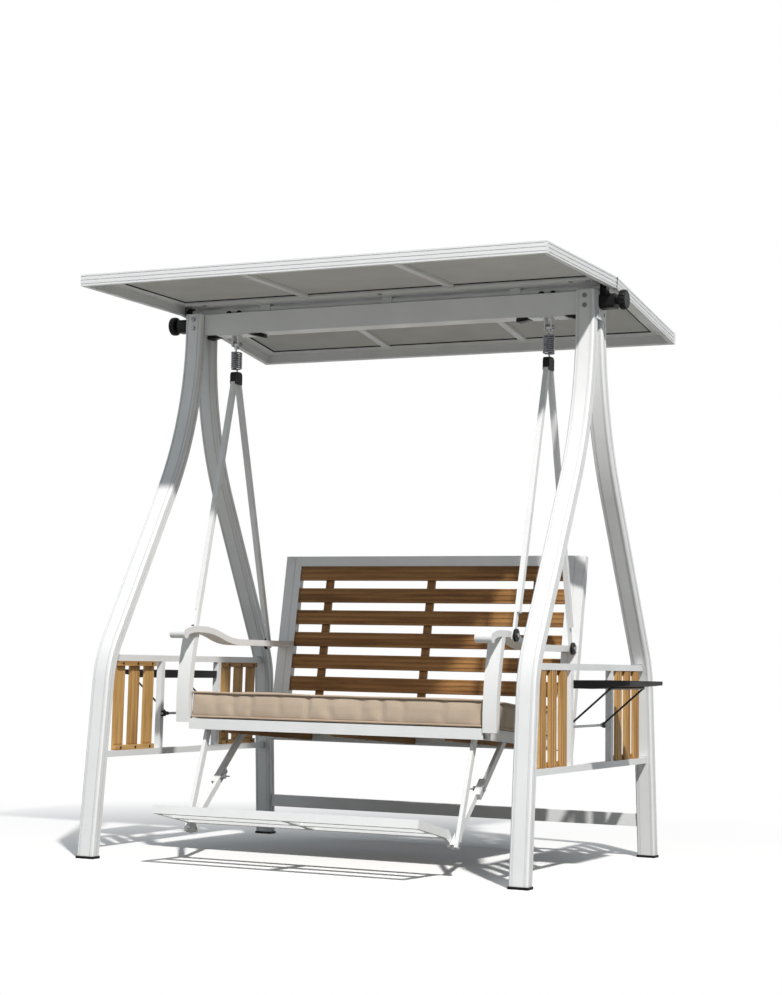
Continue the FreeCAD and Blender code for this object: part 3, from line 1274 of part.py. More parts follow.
def make_back():
    """Stiles and rails of the backrest, fluted slats and the battens behind them."""
    stile = back_box("back_stile", ("back_stile_width", "back_thickness", "back_length"),
                     "back_stile_inner_x", "0", "0")
    core = back_box("back_stile_core", ("back_stile_width - 2 * back_stile_wall",
                                        "back_thickness - 2 * back_stile_wall",
                                        "back_length + cut_overrun - back_stile_wall"),
                    "back_stile_inner_x + back_stile_wall", "back_stile_wall", "-cut_overrun")
    groove = back_box("back_stile_groove", ("back_stile_groove_width",
                                            "cut_overrun + back_stile_groove_depth",
                                            "back_length + 2 * cut_overrun"),
                      "back_stile_inner_x + back_stile_groove_inset", "-cut_overrun", "-cut_overrun")
    node("back_stiles", pair("back_stiles", [cut("back_stile_tube", stile, [core, groove])]))

    width = "2 * back_stile_inner_x"
    rails = [back_box("back_rail_top", (width, "back_thickness", "back_top_rail"),
                      "-back_stile_inner_x", "0", "back_length - back_top_rail"),
             back_box("back_rail_bottom", (width, "back_thickness", "back_bottom_rail"),
                      "-back_stile_inner_x", "0", "0")]
    node("back_rails", group("back_rails", rails))

    lowest = "(back_bottom_rail + back_slat_bottom_gap)"
    step = f"(back_length - back_top_rail - back_slat_width - {lowest}) / (back_slat_count - 1)"
    behind = "(back_slat_setback + back_slat_thickness)"
    y, z = tipped(BACK_FOOT, "back_recline", behind, lowest)
    flutes = fluted("back_slat_width", "back_slat_thickness", "flute_width", "flute_depth", 3)
    outline = [(f"-({across})", up) for across, up in flutes]
    slats = prism("back_slats", "YZ_Plane", outline, width, ("-back_stile_inner_x", y, z), axis=LEFT,
                  angle="back_recline")
    node("back_slats", repeat(slats, "V_Axis", step, "back_slat_count"))

    size = ("back_batten_width", f"back_thickness - {behind}",
            "back_length - back_top_rail - back_bottom_rail")
    battens = [back_box(f"back_batten_{index}", size, f"{x} - back_batten_width / 2", behind,
                        "back_bottom_rail")
               for index, x in enumerate(("-back_batten_x", "0", "back_batten_x"))]
    node("back_battens", group("back_battens", battens))


# Footrest.

PIVOT = ("-foot_pivot_y", "foot_pivot_z")
STRUT_X = "(seat_side_x - strut_thickness)"
LAP_X = "(seat_side_x - 2 * strut_thickness)"
REAR_RUN = "(foot_pivot_y - strut_rear_y)"
REAR_RISE = f"({STRUT_REAR_TOP[1]} - foot_pivot_z)"
REAR_LEAN = f"atan2({REAR_RUN}; {REAR_RISE})"
REAR_LENGTH = f"sqrt({REAR_RUN} ^ 2 + {REAR_RISE} ^ 2)"
CLAMP_AT = f"({REAR_LENGTH} * clamp_share_from_pivot)"


def strut(name, x, lean, start, end):
    """A flat bar along a line from the footrest pivot, between two distances from it."""
    y, z = tipped(PIVOT, lean, "-strut_width / 2", start)
    return box(name, ("strut_thickness", "strut_width", f"({end}) - ({start})"), (x, y, z), LEFT, lean)


def pierced(name, bar, x, spots):
    """A strut with a bolt hole at each of the given places."""
    holes = [cylinder(f"{name}_hole_{index}", "strut_bolt_radius + bolt_clearance", "3 * strut_thickness",
                      (f"{x} - strut_thickness", y, z), RIGHT) for index, (y, z) in enumerate(spots)]
    return cut(name, bar, holes)


def make_struts():
    """Front struts, two part rear struts and the bolts through them."""
    run = "(foot_pivot_y - strut_front_y)"
    rise = f"({STRUT_FRONT_TOP[1]} - foot_pivot_z)"
    lean = f"atan2({run}; {rise})"
    clamp = tipped(PIVOT, REAR_LEAN, "0", CLAMP_AT)
    front = strut("front_strut", STRUT_X, lean, "-strut_end", f"sqrt({run} ^ 2 + {rise} ^ 2) + strut_end / 2")
    upper = strut("upper_strut", STRUT_X, REAR_LEAN, f"{CLAMP_AT} - strut_lap / 2",
                  f"{REAR_LENGTH} + strut_end / 2")
    lower = strut("lower_strut", LAP_X, REAR_LEAN, "-strut_end", f"{CLAMP_AT} + strut_lap / 2")
    node("front_struts", pair("front_struts", [pierced("strut_front", front, STRUT_X,
                                                       [PIVOT, STRUT_FRONT_TOP])]))
    node("rear_struts", pair("rear_struts", [pierced("strut_upper", upper, STRUT_X, [clamp, STRUT_REAR_TOP]),
                                             pierced("strut_lower", lower, LAP_X, [PIVOT, clamp])]))

    sizes = ("strut_bolt_head_radius", "strut_bolt_head_height")
    grip = "seat_side_width + strut_thickness"
    outside = "seat_side_x + seat_side_width"
    bolts = [bolt(f"seat_bolt_{index}", "strut_bolt_radius", grip, *sizes, (outside, *spot), LEFT, nut=True)
             for index, spot in enumerate((STRUT_FRONT_TOP, STRUT_REAR_TOP))]
    reach = "2 * strut_thickness + platform_side_width"
    bolts.append(bolt("pivot_bolt", "strut_bolt_radius", f"{reach} + slide_clearance", *sizes,
                      ("seat_side_x", *PIVOT), LEFT))
    bolts.append(bolt("clamp_bolt", "strut_bolt_radius", "2 * strut_thickness + wing_hub_length", *sizes,
                      ("seat_side_x", *clamp), LEFT))
    node("strut_bolts", pair("strut_bolts", bolts))

    hub = cylinder("wing_hub", "wing_hub_radius", "wing_hub_length - slide_clearance",
                   (f"{LAP_X} - wing_hub_length", *clamp), RIGHT)
    wing = box("wing_blade", ("wing_height", "wing_span", "wing_thickness"),
               (f"{LAP_X} - wing_hub_length - wing_height / 2", f"{clamp[0]} - wing_span / 2",
                f"{clamp[1]} - wing_thickness / 2"))
    bore = cylinder("wing_bore", "strut_bolt_radius + pin_clearance", "3 * wing_hub_length",
                    (f"{LAP_X} - 2 * wing_hub_length", *clamp), RIGHT)
    right = node("wing_nut_right", cut("wing_nut_right", fuse("wing_blank", [hub, wing]), [bore]))
    node("wing_nut_left", mirrored("wing_nut_left", right))


PLATFORM_OUT = f"({LAP_X} - slide_clearance)"
PLATFORM_IN = f"({PLATFORM_OUT} - platform_side_width)"
PLATFORM_LOW = "(platform_top - platform_rail_height)"


def platform_box(name, size, x, ahead, rise):
    """A block of the sloping platform: its front end at a distance ahead of the pivot."""
    y, z = tipped(PIVOT, "platform_slope", f"-({ahead})", rise)
    return box(name, size, (x, y, z), LEFT, "platform_slope")


def make_platform():
    """Open platform: cross rails, side rails with pivot ears, and middle ribs."""
    size = ("platform_rail_depth", "platform_rail_height")
    rails = [platform_box("platform_front_rail", (f"2 * {PLATFORM_OUT}", *size), f"-{PLATFORM_OUT}",
                          "platform_front", PLATFORM_LOW)]
    for name, ahead in (("middle", "platform_mid + platform_rail_depth"),
                        ("back", "platform_back + platform_rail_depth")):
        rails.append(platform_box(f"platform_{name}_rail", (f"2 * {PLATFORM_IN}", *size), f"-{PLATFORM_IN}",
                                  ahead, PLATFORM_LOW))
    for name, ahead, behind in (("front", "(platform_front - platform_rail_depth)",
                                 "(platform_mid + platform_rail_depth)"),
                                ("back", "platform_mid", "(platform_back + platform_rail_depth)")):
        rails.append(platform_box(f"platform_rib_{name}",
                                  ("platform_rib_width", f"{ahead} - {behind}", "platform_rail_height"),
                                  "-platform_rib_width / 2", ahead, PLATFORM_LOW))
    node("footrest_rails", group("footrest_rails", rails))

    far = "-(platform_front - platform_rail_depth)"
    near = "-platform_back"
    outline = [(far, PLATFORM_LOW), ("-platform_back - platform_rail_depth", PLATFORM_LOW),
               ("-ear_radius", "0"), ("0", "-ear_radius"), ("ear_radius", "0"),
               (near, "platform_top"), (far, "platform_top")]
    arcs = {2: ("ear_radius", 1), 3: ("ear_radius", 1)}
    side = prism("platform_side_blank", "YZ_Plane", outline, "platform_side_width",
                 (PLATFORM_IN, *PIVOT), arcs, LEFT, "platform_slope")
    hole = cylinder("platform_hole", "strut_bolt_radius + pin_clearance", "3 * platform_side_width",
                    (f"{PLATFORM_IN} - platform_side_width", *PIVOT), RIGHT)
    node("footrest_sides", pair("footrest_sides", [cut("platform_side", side, [hole])]))


# Side tables.

TABLE_X = leaning("0", TABLE_Z)[0]
TABLE_HALF = "(stile_inner_y - table_end_gap)"
ROD_X = f"({leaning('-side_rail_depth / 2', ROD_Z)[0]} - rod_radius)"


def make_tables():
    """Tray boards on hinge pins, the rods on the stiles, their clips and the stays."""
    reach, inner = "table_reach", "table_inner_edge"
    near, far = f"(table_corner - {TABLE_HALF})", f"({TABLE_HALF} - table_corner)"
    outline = [(f"-{inner}", f"-{TABLE_HALF}"), (f"{reach} - table_corner", f"-{TABLE_HALF}"),
               (reach, near), (reach, far), (f"{reach} - table_corner", TABLE_HALF),
               (f"-{inner}", TABLE_HALF)]
    arcs = {1: ("table_corner", 1), 3: ("table_corner", 1)}
    top = "table_thickness / 2"
    plan = prism("table_plan", "XY_Plane", outline, "table_thickness / 2 + table_hinge_depth",
                 (TABLE_X, "0", f"{TABLE_Z} - table_hinge_depth"), arcs)
    outline = [(f"-{inner}", "-table_hinge_depth"), ("table_hinge_run", "-table_hinge_depth"),
               (reach, f"{top} - table_edge_thickness"), (reach, top), (f"-{inner}", top)]
    wedge = prism("table_wedge", "XZ_Plane", outline, f"2 * {TABLE_HALF}", (TABLE_X, TABLE_HALF, TABLE_Z))
    slab = doc.addObject("Part::MultiCommon", "table_slab")
    slab.Shapes = [plan, wedge]
    tray = box("table_tray", (f"{reach} + {inner} - 2 * table_rim", f"2 * ({TABLE_HALF} - table_rim)",
                              "table_recess + cut_overrun"),
               (f"{TABLE_X} - {inner} + table_rim", f"table_rim - {TABLE_HALF}",
                f"{TABLE_Z} + table_thickness / 2 - table_recess"))
    pin_length = "table_end_gap + table_pin_reach - slide_clearance + table_rim"
    pins = [cylinder("table_pin_rear", "table_pin_radius", pin_length,
                     (TABLE_X, f"{TABLE_HALF} - table_rim", TABLE_Z), BACK)]
    pins.append(mirrored("table_pin_front", pins[0], BACK))
    right = node("table_right", fuse("table_right", [cut("table_board", slab, [tray])] + pins))
    node("table_left", mirrored("table_left", right))

    end = "(stile_inner_y + stile_width - rod_end_inset)"
    rod = cylinder("table_rod", "rod_radius", f"2 * {end}", (ROD_X, f"-{end}", ROD_Z), BACK)
    node("table_rods", pair("table_rods", [rod]))

    clip = leaning_box("clip_block", ("clip_depth", "clip_width", "clip_height"),
                       "-side_rail_depth / 2 - clip_depth", "stile_inner_y + (stile_width - clip_width) / 2",
                       f"{ROD_Z} - clip_height / 2")
    bore = cylinder("clip_bore", "rod_radius + pin_clearance", "4 * stile_width",
                    (ROD_X, "stile_inner_y - stile_width", ROD_Z), BACK)
    rear = cut("rod_clip_rear", clip, [bore])
    node("rod_clips", pair("rod_clips", [rear, mirrored("rod_clip_front", rear, BACK)]))

    fall = "(table_hinge_depth + table_thickness / 2 - table_edge_thickness)"
    slope = f"{fall} / (table_reach - table_hinge_run)"
    under = f"(table_hinge_depth - (stay_reach - table_hinge_run) * {slope})"
    top_z = f"({TABLE_Z} - {under} - stay_radius / cos(atan({slope})) - seat_clearance)"
    run, rise = f"({TABLE_X} + stay_reach - {ROD_X})", f"({top_z} - {ROD_Z})"
    pieces = [cylinder("stay_bar", "stay_radius", "stay_front_y + stay_rear_y + 2 * stay_radius",
                       (f"{TABLE_X} + stay_reach", "-stay_front_y - stay_radius", top_z), BACK)]
    for index, y in enumerate(("-stay_front_y", "stay_rear_y")):
        leg = cylinder(f"stay_leg_{index}", "stay_leg_radius", f"sqrt({run} ^ 2 + {rise} ^ 2)",
                       (ROD_X, y, ROD_Z))
        place(leg, (ROD_X, y, ROD_Z), BACK, f"atan2({run}; {rise})")
        pieces.append(leg)
        pieces.append(cylinder(f"stay_eye_{index}", "stay_eye_radius", "stay_eye_length",
                               (ROD_X, f"{y} - stay_eye_length / 2", ROD_Z), BACK))
    hole = cylinder("stay_bore", "rod_radius + pin_clearance", "4 * stay_front_y",
                    (ROD_X, "-2 * stay_front_y", ROD_Z), BACK)
    right = node("table_stay_right", cut("table_stay_right", fuse("stay_blank", pieces), [hole]))
    node("table_stay_left", mirrored("table_stay_left", right))


# Output.

def check_and_write():
    """Stop on any failed feature or bad solid, then write one file for each node."""
    doc.recompute()
    failed = [item.Label for item in doc.Objects if {"Invalid", "Error"} & set(item.State)]
    if failed:
        raise RuntimeError(f"failed features: {failed}")
    bad = [piece.Label for piece in NODES if piece.Shape.isNull() or not piece.Shape.isValid()]
    if bad:
        raise RuntimeError(f"bad solids: {bad}")
    os.makedirs("parts", exist_ok=True)
    for piece in NODES:
        piece.Shape.exportStep(f"parts/{piece.Label}.step")
        print(f"{piece.Label}: {len(piece.Shape.Solids)} solids, {piece.Shape.Volume / 1000:.1f} cm3")
    print(f"{len(NODES)} nodes")


make_posts()
make_foot_caps()
make_beam()
make_head_plates()
make_hanger_brackets()
make_tilt_housings()
make_crossbar()
make_side_frames()
make_canopy_frame()
make_ridge()
make_pivot_tube()
make_tilt_knobs()
make_hanger_eyes()
make_springs()
make_swing_bars()
make_armrests()
make_seat()
make_cushion()
make_back()
make_struts()
make_platform()
make_tables()
check_and_write()
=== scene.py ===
"""Looks of a garden swing bench under a tilting hard canopy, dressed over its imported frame.

Lengths are metres in the frame of the model: X to the right of someone who faces the bench, Y to the
back, Z up, with the origin on the floor in the middle of the four feet.
"""

import logging
import math
import random
from dataclasses import dataclass
from enum import Enum
from typing import ClassVar, Iterable, Sequence

import bmesh
import bpy
from mathutils import Matrix, Vector, noise


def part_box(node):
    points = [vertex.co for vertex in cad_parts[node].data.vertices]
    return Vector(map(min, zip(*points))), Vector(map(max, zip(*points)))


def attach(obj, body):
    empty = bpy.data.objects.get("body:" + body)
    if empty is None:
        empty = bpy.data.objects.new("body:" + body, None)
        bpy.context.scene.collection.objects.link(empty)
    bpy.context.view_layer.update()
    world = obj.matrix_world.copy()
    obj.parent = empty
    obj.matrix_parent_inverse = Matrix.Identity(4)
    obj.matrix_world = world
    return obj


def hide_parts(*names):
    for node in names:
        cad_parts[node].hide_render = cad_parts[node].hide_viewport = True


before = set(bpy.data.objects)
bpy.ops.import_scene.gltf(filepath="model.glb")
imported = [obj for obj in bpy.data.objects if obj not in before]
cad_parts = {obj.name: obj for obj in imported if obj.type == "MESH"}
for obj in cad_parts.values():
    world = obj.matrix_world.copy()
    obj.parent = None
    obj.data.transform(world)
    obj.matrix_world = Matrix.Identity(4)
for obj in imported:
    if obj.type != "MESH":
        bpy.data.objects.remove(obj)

LOG = logging.getLogger("swing_bench")
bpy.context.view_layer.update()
SEAT_ANGLE = math.radians(-3.8)
SEAT_FALL = Matrix.Rotation(SEAT_ANGLE, 4, "X")

Colour = tuple[float, float, float]
Scale = tuple[float, float, float]
Span = tuple[float, float, float, float]  # Results at both ends, then the ends.
Socket = bpy.types.NodeSocket
WHITE: Colour = (1.0, 1.0, 1.0)


# Node trees.


class Net:
    """A node tree being wired up."""

    def __init__(self, tree: bpy.types.NodeTree) -> None:
        """Wrap a node tree."""
        self.tree = tree

    def add(self, kind: str, feeds: dict | None = None, **settings: object) -> bpy.types.Node:
        """Add a node.

        Args:
            kind: The node's type.
            feeds: Values or sockets for its inputs, by input name or index.
            settings: Attributes of the node.

        Returns:
            The new node.
        """
        node = self.tree.nodes.new(kind)
        for name, value in settings.items():
            setattr(node, name, value)
        self.fill(node, feeds or {})
        return node

    def fill(self, node: bpy.types.Node, feeds: dict) -> None:
        """Link or set several inputs of a node, by name or index."""
        for key, value in feeds.items():
            self.feed(node.inputs[key], value)

    def feed(self, socket: Socket, value: object) -> None:
        """Link a socket into an input, or set a plain value on it.

        Args:
            socket: The input.
            value: An output socket, a number, a vector or a colour.
        """
        if isinstance(value, bpy.types.NodeSocket):
            self.tree.links.new(value, socket)
        elif socket.type == "RGBA":
            socket.default_value = (*value, 1.0)
        else:
            socket.default_value = value

    def sum(self, operation: str, *values: object, clamp: bool = False) -> Socket:
        """Return the result of one Math node, held between 0 and 1 if clamped."""
        node = self.add("ShaderNodeMath", dict(enumerate(values)), operation=operation, use_clamp=clamp)
        return node.outputs[0]

    def mix(self, share: object, first: object, second: object) -> Socket:
        """Return a colour between two, by the share of the second."""
        return self.add("ShaderNodeMix", {0: share, 6: first, 7: second}, data_type="RGBA").outputs[2]

    def span(self, value: Socket, low: float, high: float, start: float = 0.0, end: float = 1.0) -> Socket:
        """Return a value mapped from start and end onto low and high, clamped."""
        return self.add("ShaderNodeMapRange", {0: value, 1: start, 2: end, 3: low, 4: high}).outputs[0]

    def noise(self, vector: object, scale: object, detail: float = 2.0) -> Socket:
        """Return a noise value, with scale cells for each metre and detail octaves."""
        feeds = {"Vector": vector, "Scale": scale, "Detail": detail}
        return self.add("ShaderNodeTexNoise", feeds).outputs[0]

    def bump(self, height: Socket, strength: float, distance: float) -> Socket:
        """Return a normal tilted by a height, whose full depth is a distance in metres."""
        feeds = {"Height": height, "Strength": strength, "Distance": distance}
        return self.add("ShaderNodeBump", feeds).outputs[0]

    def stretched(self, vector: object, scale: Scale) -> Socket:
        """Return a vector scaled along its axes, so that a pattern on it is drawn out."""
        return self.add("ShaderNodeMapping", {"Vector": vector, "Scale": scale}).outputs[0]

    def object_place(self) -> Socket:
        """Return the place on the object, in metres."""
        return self.add("ShaderNodeTexCoord").outputs["Object"]

    def straight_look(self) -> Socket:
        """Return 1 for what the eye sees itself, in a mirror or through glass, else 0."""
        seen = self.add("ShaderNodeLightPath").outputs
        direct = self.sum("MAXIMUM", seen["Is Camera Ray"], seen["Is Glossy Ray"])
        return self.sum("MAXIMUM", direct, seen["Is Transmission Ray"])

    def effect(self, effect: "Effect", **feeds: object) -> bpy.types.NodeOutputs:
        """Place a shared effect with its inputs, and return its outputs."""
        return self.add("ShaderNodeGroup", feeds, node_tree=EFFECTS.tree(effect)).outputs


class Effect(Enum):
    """Surface effects that several finishes share."""

    PEEL = "coat_peel"
    DUST = "settled_dust"
    RUB = "rubbed_edges"
    # Painted shade in recesses, from ambient occlusion.
    HOLLOW = "painted_shade_in_hollows"
    GRAIN = "wood_grain"
    WEAVE = "cloth_weave"


class Effects:
    """Builds each shared effect once, as a shader node group; scales are cells for each metre."""

    mottle_scale: ClassVar[float] = 9.0
    dust_scale: ClassVar[float] = 14.0
    dust_patches: ClassVar[Span] = (0.25, 1.0, 0.35, 0.7)
    dust_slope: ClassVar[Span] = (0.0, 1.0, 0.3, 1.0)
    edge_bend: ClassVar[Span] = (1.0, 0.0, 0.72, 0.97)
    edge_scale: ClassVar[float] = 55.0
    edge_breaks: ClassVar[Span] = (0.0, 1.0, 0.4, 0.62)
    hollow_opening: ClassVar[Span] = (1.0, 0.0, 0.45, 0.96)
    streak_drawing: ClassVar[Scale] = (0.06, 1.0, 1.0)
    streak_share: ClassVar[float] = 0.65
    broad_scale: ClassVar[float] = 16.0
    broad_share: ClassVar[float] = 0.35
    pore_drawing: ClassVar[Scale] = (0.025, 1.0, 1.0)
    pore_scale: ClassVar[float] = 900.0
    pore_range: ClassVar[Span] = (1.0, 0.0, 0.33, 0.46)
    crossing_share: ClassVar[float] = 0.35
    ridge_share: ClassVar[float] = 0.5
    weft_drawing: ClassVar[Scale] = (0.05, 1.0, 1.0)
    warp_drawing: ClassVar[Scale] = (1.0, 0.05, 1.0)
    slub_scale: ClassVar[float] = 420.0
    slub_range: ClassVar[Span] = (0.0, 1.0, 0.7, 1.3)

    def __init__(self) -> None:
        """Start with no groups."""
        self.trees: dict[Effect, bpy.types.NodeTree] = {}

    def tree(self, effect: Effect) -> bpy.types.NodeTree:
        """Return an effect's group.

        Args:
            effect: Which effect.

        Returns:
            The shader node group.
        """
        if effect not in self.trees:
            self.trees[effect] = getattr(self, effect.value)()
            self.trees[effect].name = effect.value
        return self.trees[effect]

    @staticmethod
    def start(inputs: dict[str, float | None], outputs: Sequence[str]) -> tuple[Net, dict, dict]:
        """Start a group with value inputs, vector inputs and value outputs.

        Args:
            inputs: Default of each value input, or None for a vector.
            outputs: Names of the value outputs.

        Returns:
            The group's net, its entry sockets and its exit sockets, by name.
        """
        tree = bpy.data.node_groups.new("effect", "ShaderNodeTree")
        for label, default in inputs.items():
            kind = "NodeSocketVector" if default is None else "NodeSocketFloat"
            socket = tree.interface.new_socket(name=label, in_out="INPUT", socket_type=kind)
            if default is not None:
                socket.default_value = default
        for label in outputs:
            tree.interface.new_socket(name=label, in_out="OUTPUT", socket_type="NodeSocketFloat")
        net = Net(tree)
        entry = net.add("NodeGroupInput").outputs
        end = net.add("NodeGroupOutput").inputs
        return net, {label: entry[label] for label in inputs}, {label: end[label] for label in outputs}

    def coat_peel(self) -> bpy.types.NodeTree:
        """Fine orange peel of a sprayed coat, with broad mottling.

        Returns:
            The group, with Height and Mottle.
        """
        net, entry, end = self.start({"Pitch": 0.002}, ["Height", "Mottle"])
        place = net.object_place()
        net.feed(end["Height"], net.noise(place, net.sum("DIVIDE", 1.0, entry["Pitch"])))
        net.feed(end["Mottle"], net.noise(place, self.mottle_scale, 4.0))
        return net.tree

    def settled_dust(self) -> bpy.types.NodeTree:
        """Dust on faces that look up, in patches.

        Returns:
            The group, with Mask.
        """
        net, entry, end = self.start({"Cover": 0.3}, ["Mask"])
        coords = net.add("ShaderNodeTexCoord")
        upward = net.add("ShaderNodeSeparateXYZ", {0: coords.outputs["Normal"]}).outputs[2]
        patches = net.span(net.noise(coords.outputs["Object"], self.dust_scale, 6.0), *self.dust_patches)
        lying = net.span(upward, *self.dust_slope)
        cover = net.sum("MULTIPLY", net.sum("MULTIPLY", patches, lying), entry["Cover"], clamp=True)
        net.feed(end["Mask"], cover)
        return net.tree

    def rubbed_edges(self) -> bpy.types.NodeTree:
        """Edges rubbed bare in broken stretches.

        Returns:
            The group, with Mask.
        """
        net, entry, end = self.start({"Width": 0.0015, "Amount": 0.5}, ["Mask"])
        rounded = net.add("ShaderNodeBevel", {"Radius": entry["Width"]}, samples=4).outputs[0]
        flat = net.add("ShaderNodeNewGeometry").outputs["Normal"]
        along = net.add("ShaderNodeVectorMath", {0: rounded, 1: flat}, operation="DOT_PRODUCT")
        edge = net.span(along.outputs["Value"], *self.edge_bend)
        broken = net.span(net.noise(net.object_place(), self.edge_scale, 5.0), *self.edge_breaks)
        rubbed = net.sum("MULTIPLY", edge, broken)
        net.feed(end["Mask"], net.sum("MULTIPLY", rubbed, entry["Amount"], clamp=True))
        return net.tree

    def painted_shade_in_hollows(self) -> bpy.types.NodeTree:
        """Painted shade inside flutes, grooves and close corners, read from ambient occlusion.

        Returns:
            The group, with Mask.
        """
        net, entry, end = self.start({"Reach": 0.004, "Amount": 1.0}, ["Mask"])
        closed = net.add("ShaderNodeAmbientOcclusion", {"Distance": entry["Reach"]}, samples=6).outputs["AO"]
        hidden = net.span(closed, *self.hollow_opening)
        net.feed(end["Mask"], net.sum("MULTIPLY", hidden, entry["Amount"], clamp=True))
        return net.tree

    def wood_grain(self) -> bpy.types.NodeTree:
        """Growth streaks and pores that run along the vector's first axis.

        Returns:
            The group, with Tone and Pores.
        """
        net, entry, end = self.start({"Vector": None, "Spread": 60.0}, ["Tone", "Pores"])
        drawn = net.stretched(entry["Vector"], self.streak_drawing)
        streaks = net.sum("MULTIPLY", net.noise(drawn, entry["Spread"], 5.0), self.streak_share)
        broad = net.sum("MULTIPLY", net.noise(drawn, self.broad_scale), self.broad_share)
        net.feed(end["Tone"], net.sum("ADD", streaks, broad))
        fine = net.stretched(entry["Vector"], self.pore_drawing)
        net.feed(end["Pores"], net.span(net.noise(fine, self.pore_scale), *self.pore_range))
        return net.tree

    def cloth_weave(self) -> bpy.types.NodeTree:
        """Plain weave of two thread sets, read on a map in metres.

        Returns:
            The group, with Height, Shade and Slub.
        """
        net, entry, end = self.start({"Vector": None, "Thread": 0.0011}, ["Height", "Shade", "Slub"])
        parts = net.add("ShaderNodeSeparateXYZ", {0: entry["Vector"]}).outputs
        turns = [net.sum("DIVIDE", net.sum("MULTIPLY", part, math.pi), entry["Thread"]) for part in parts[:2]]
        across, along = [net.sum("SINE", turn) for turn in turns]
        over = net.sum("MULTIPLY", across, along)
        ridges = net.sum("MAXIMUM", net.sum("ABSOLUTE", across), net.sum("ABSOLUTE", along))
        crossing = net.sum("MULTIPLY", over, self.crossing_share)
        ridges = net.sum("MULTIPLY", ridges, self.ridge_share)
        net.feed(end["Height"], net.sum("ADD", crossing, ridges))
        net.feed(end["Shade"], net.span(over, 0.0, 1.0, -1.0, 1.0))
        weft, warp = [net.noise(net.stretched(entry["Vector"], drawing), self.slub_scale)
                      for drawing in (self.weft_drawing, self.warp_drawing)]
        net.feed(end["Slub"], net.span(net.sum("ADD", weft, warp), *self.slub_range))
        return net.tree


EFFECTS = Effects()


# Finishes.


@dataclass(frozen=True)
class Finish:
    """A surface finish, made into one material."""

    name: str
    known: ClassVar[dict[str, bpy.types.Material]] = {}

    def material(self) -> bpy.types.Material:
        """Return the finish's material, built at its first use."""
        if self.name not in Finish.known:
            material = bpy.data.materials.new(self.name)
            material.use_nodes = True
            self.paint(Net(material.node_tree), material.node_tree.nodes["Principled BSDF"])
            Finish.known[self.name] = material
        return Finish.known[self.name]

    def paint(self, net: Net, shader: bpy.types.Node) -> None:
        """Wire the finish into its shader; each kind of finish has its own wiring."""
        raise NotImplementedError


@dataclass(frozen=True)
class Coat(Finish):
    """Sprayed or moulded skin with peel, dust and rubbed edges."""

    colour: Colour
    shade: Colour
    bare: Colour
    roughness: float
    pitch: float = 0.002
    peel: float = 0.12
    dust: float = 0.1
    rub: float = 0.15
    hollow: float = 0.0
    specular: float = 0.5
    hollow_reach: float = 0.006
    peel_depth: float = 0.0004
    smoother: float = 0.06
    rougher: float = 0.08
    dust_roughness: float = 0.3
    shade_range: Span = (0.0, 0.5, 0.35, 0.7)
    grip_range: tuple[float, float] = (0.3, 0.7)
    # Colour of the painted shade in grooves and close corners.
    hollow_shade: Colour = (0.30, 0.31, 0.33)
    dust_colour: Colour = (0.55, 0.52, 0.47)

    def paint(self, net: Net, shader: bpy.types.Node) -> None:
        """Wire mottled colour, dust, rubbed edges and peel.

        Args:
            net: The material's net.
            shader: Its Principled shader.
        """
        peel = net.effect(Effect.PEEL, Pitch=self.pitch)
        dust = net.effect(Effect.DUST, Cover=self.dust)["Mask"]
        rub = net.effect(Effect.RUB, Amount=self.rub)["Mask"]
        hollow = net.effect(Effect.HOLLOW, Reach=self.hollow_reach, Amount=self.hollow)["Mask"]
        colour = net.mix(net.span(peel["Mottle"], *self.shade_range), self.colour, self.shade)
        # Painted shade: grooves and close corners darkened by the occlusion mask.
        colour = net.mix(hollow, colour, self.hollow_shade)
        colour = net.mix(rub, colour, self.bare)
        colour = net.mix(dust, colour, self.dust_colour)
        smooth, rough = self.roughness - self.smoother, self.roughness + self.rougher
        grip = net.span(peel["Mottle"], smooth, rough, *self.grip_range)
        dusty = net.sum("MULTIPLY", dust, self.dust_roughness)
        net.fill(shader, {"Base Color": colour, "Roughness": net.sum("ADD", grip, dusty, clamp=True),
                          "Normal": net.bump(peel["Height"], self.peel, self.peel_depth),
                          "Specular IOR Level": self.specular})


@dataclass(frozen=True)
class Plating(Finish):
    """Bright plated steel with drawn streaks and dull spots."""

    colour: Colour
    dull: Colour
    roughness: float
    streak: float = 240.0
    streak_depth: float = 0.0003
    rub_width: float = 0.0008
    rub: float = 0.4
    spot_scale: float = 70.0
    spot_range: Span = (0.0, 0.8, 0.5, 0.72)
    spot_roughness: float = 0.2
    streak_drawing: Scale = (0.08, 1.0, 1.0)
    streak_range: Span = (-0.07, 0.09, 0.3, 0.7)
    streak_strength: float = 0.08
    bright: Colour = (0.62, 0.62, 0.61)

    def paint(self, net: Net, shader: bpy.types.Node) -> None:
        """Wire streaked metal with dull spots and rubbed edges.

        Args:
            net: The material's net.
            shader: Its Principled shader.
        """
        place = net.object_place()
        streaks = net.noise(net.stretched(place, self.streak_drawing), self.streak, 3.0)
        spots = net.span(net.noise(place, self.spot_scale, 5.0), *self.spot_range)
        rub = net.effect(Effect.RUB, Width=self.rub_width, Amount=self.rub)["Mask"]
        colour = net.mix(spots, self.colour, self.dull)
        rough = net.sum("ADD", net.span(streaks, *self.streak_range), self.roughness)
        spotty = net.sum("MULTIPLY", spots, self.spot_roughness)
        net.fill(shader, {"Base Color": net.mix(rub, colour, self.bright), "Metallic": 1.0,
                          "Roughness": net.sum("ADD", rough, spotty, clamp=True),
                          "Normal": net.bump(streaks, self.streak_strength, self.streak_depth)})


class Grain(Enum):
    """Which way a board's grain runs, as the turn that brings it onto X."""

    ALONG_X = (0.0, 0.0, 0.0)
    ALONG_Y = (0.0, 0.0, -math.pi / 2)
    ALONG_Z = (0.0, math.pi / 2, 0.0)


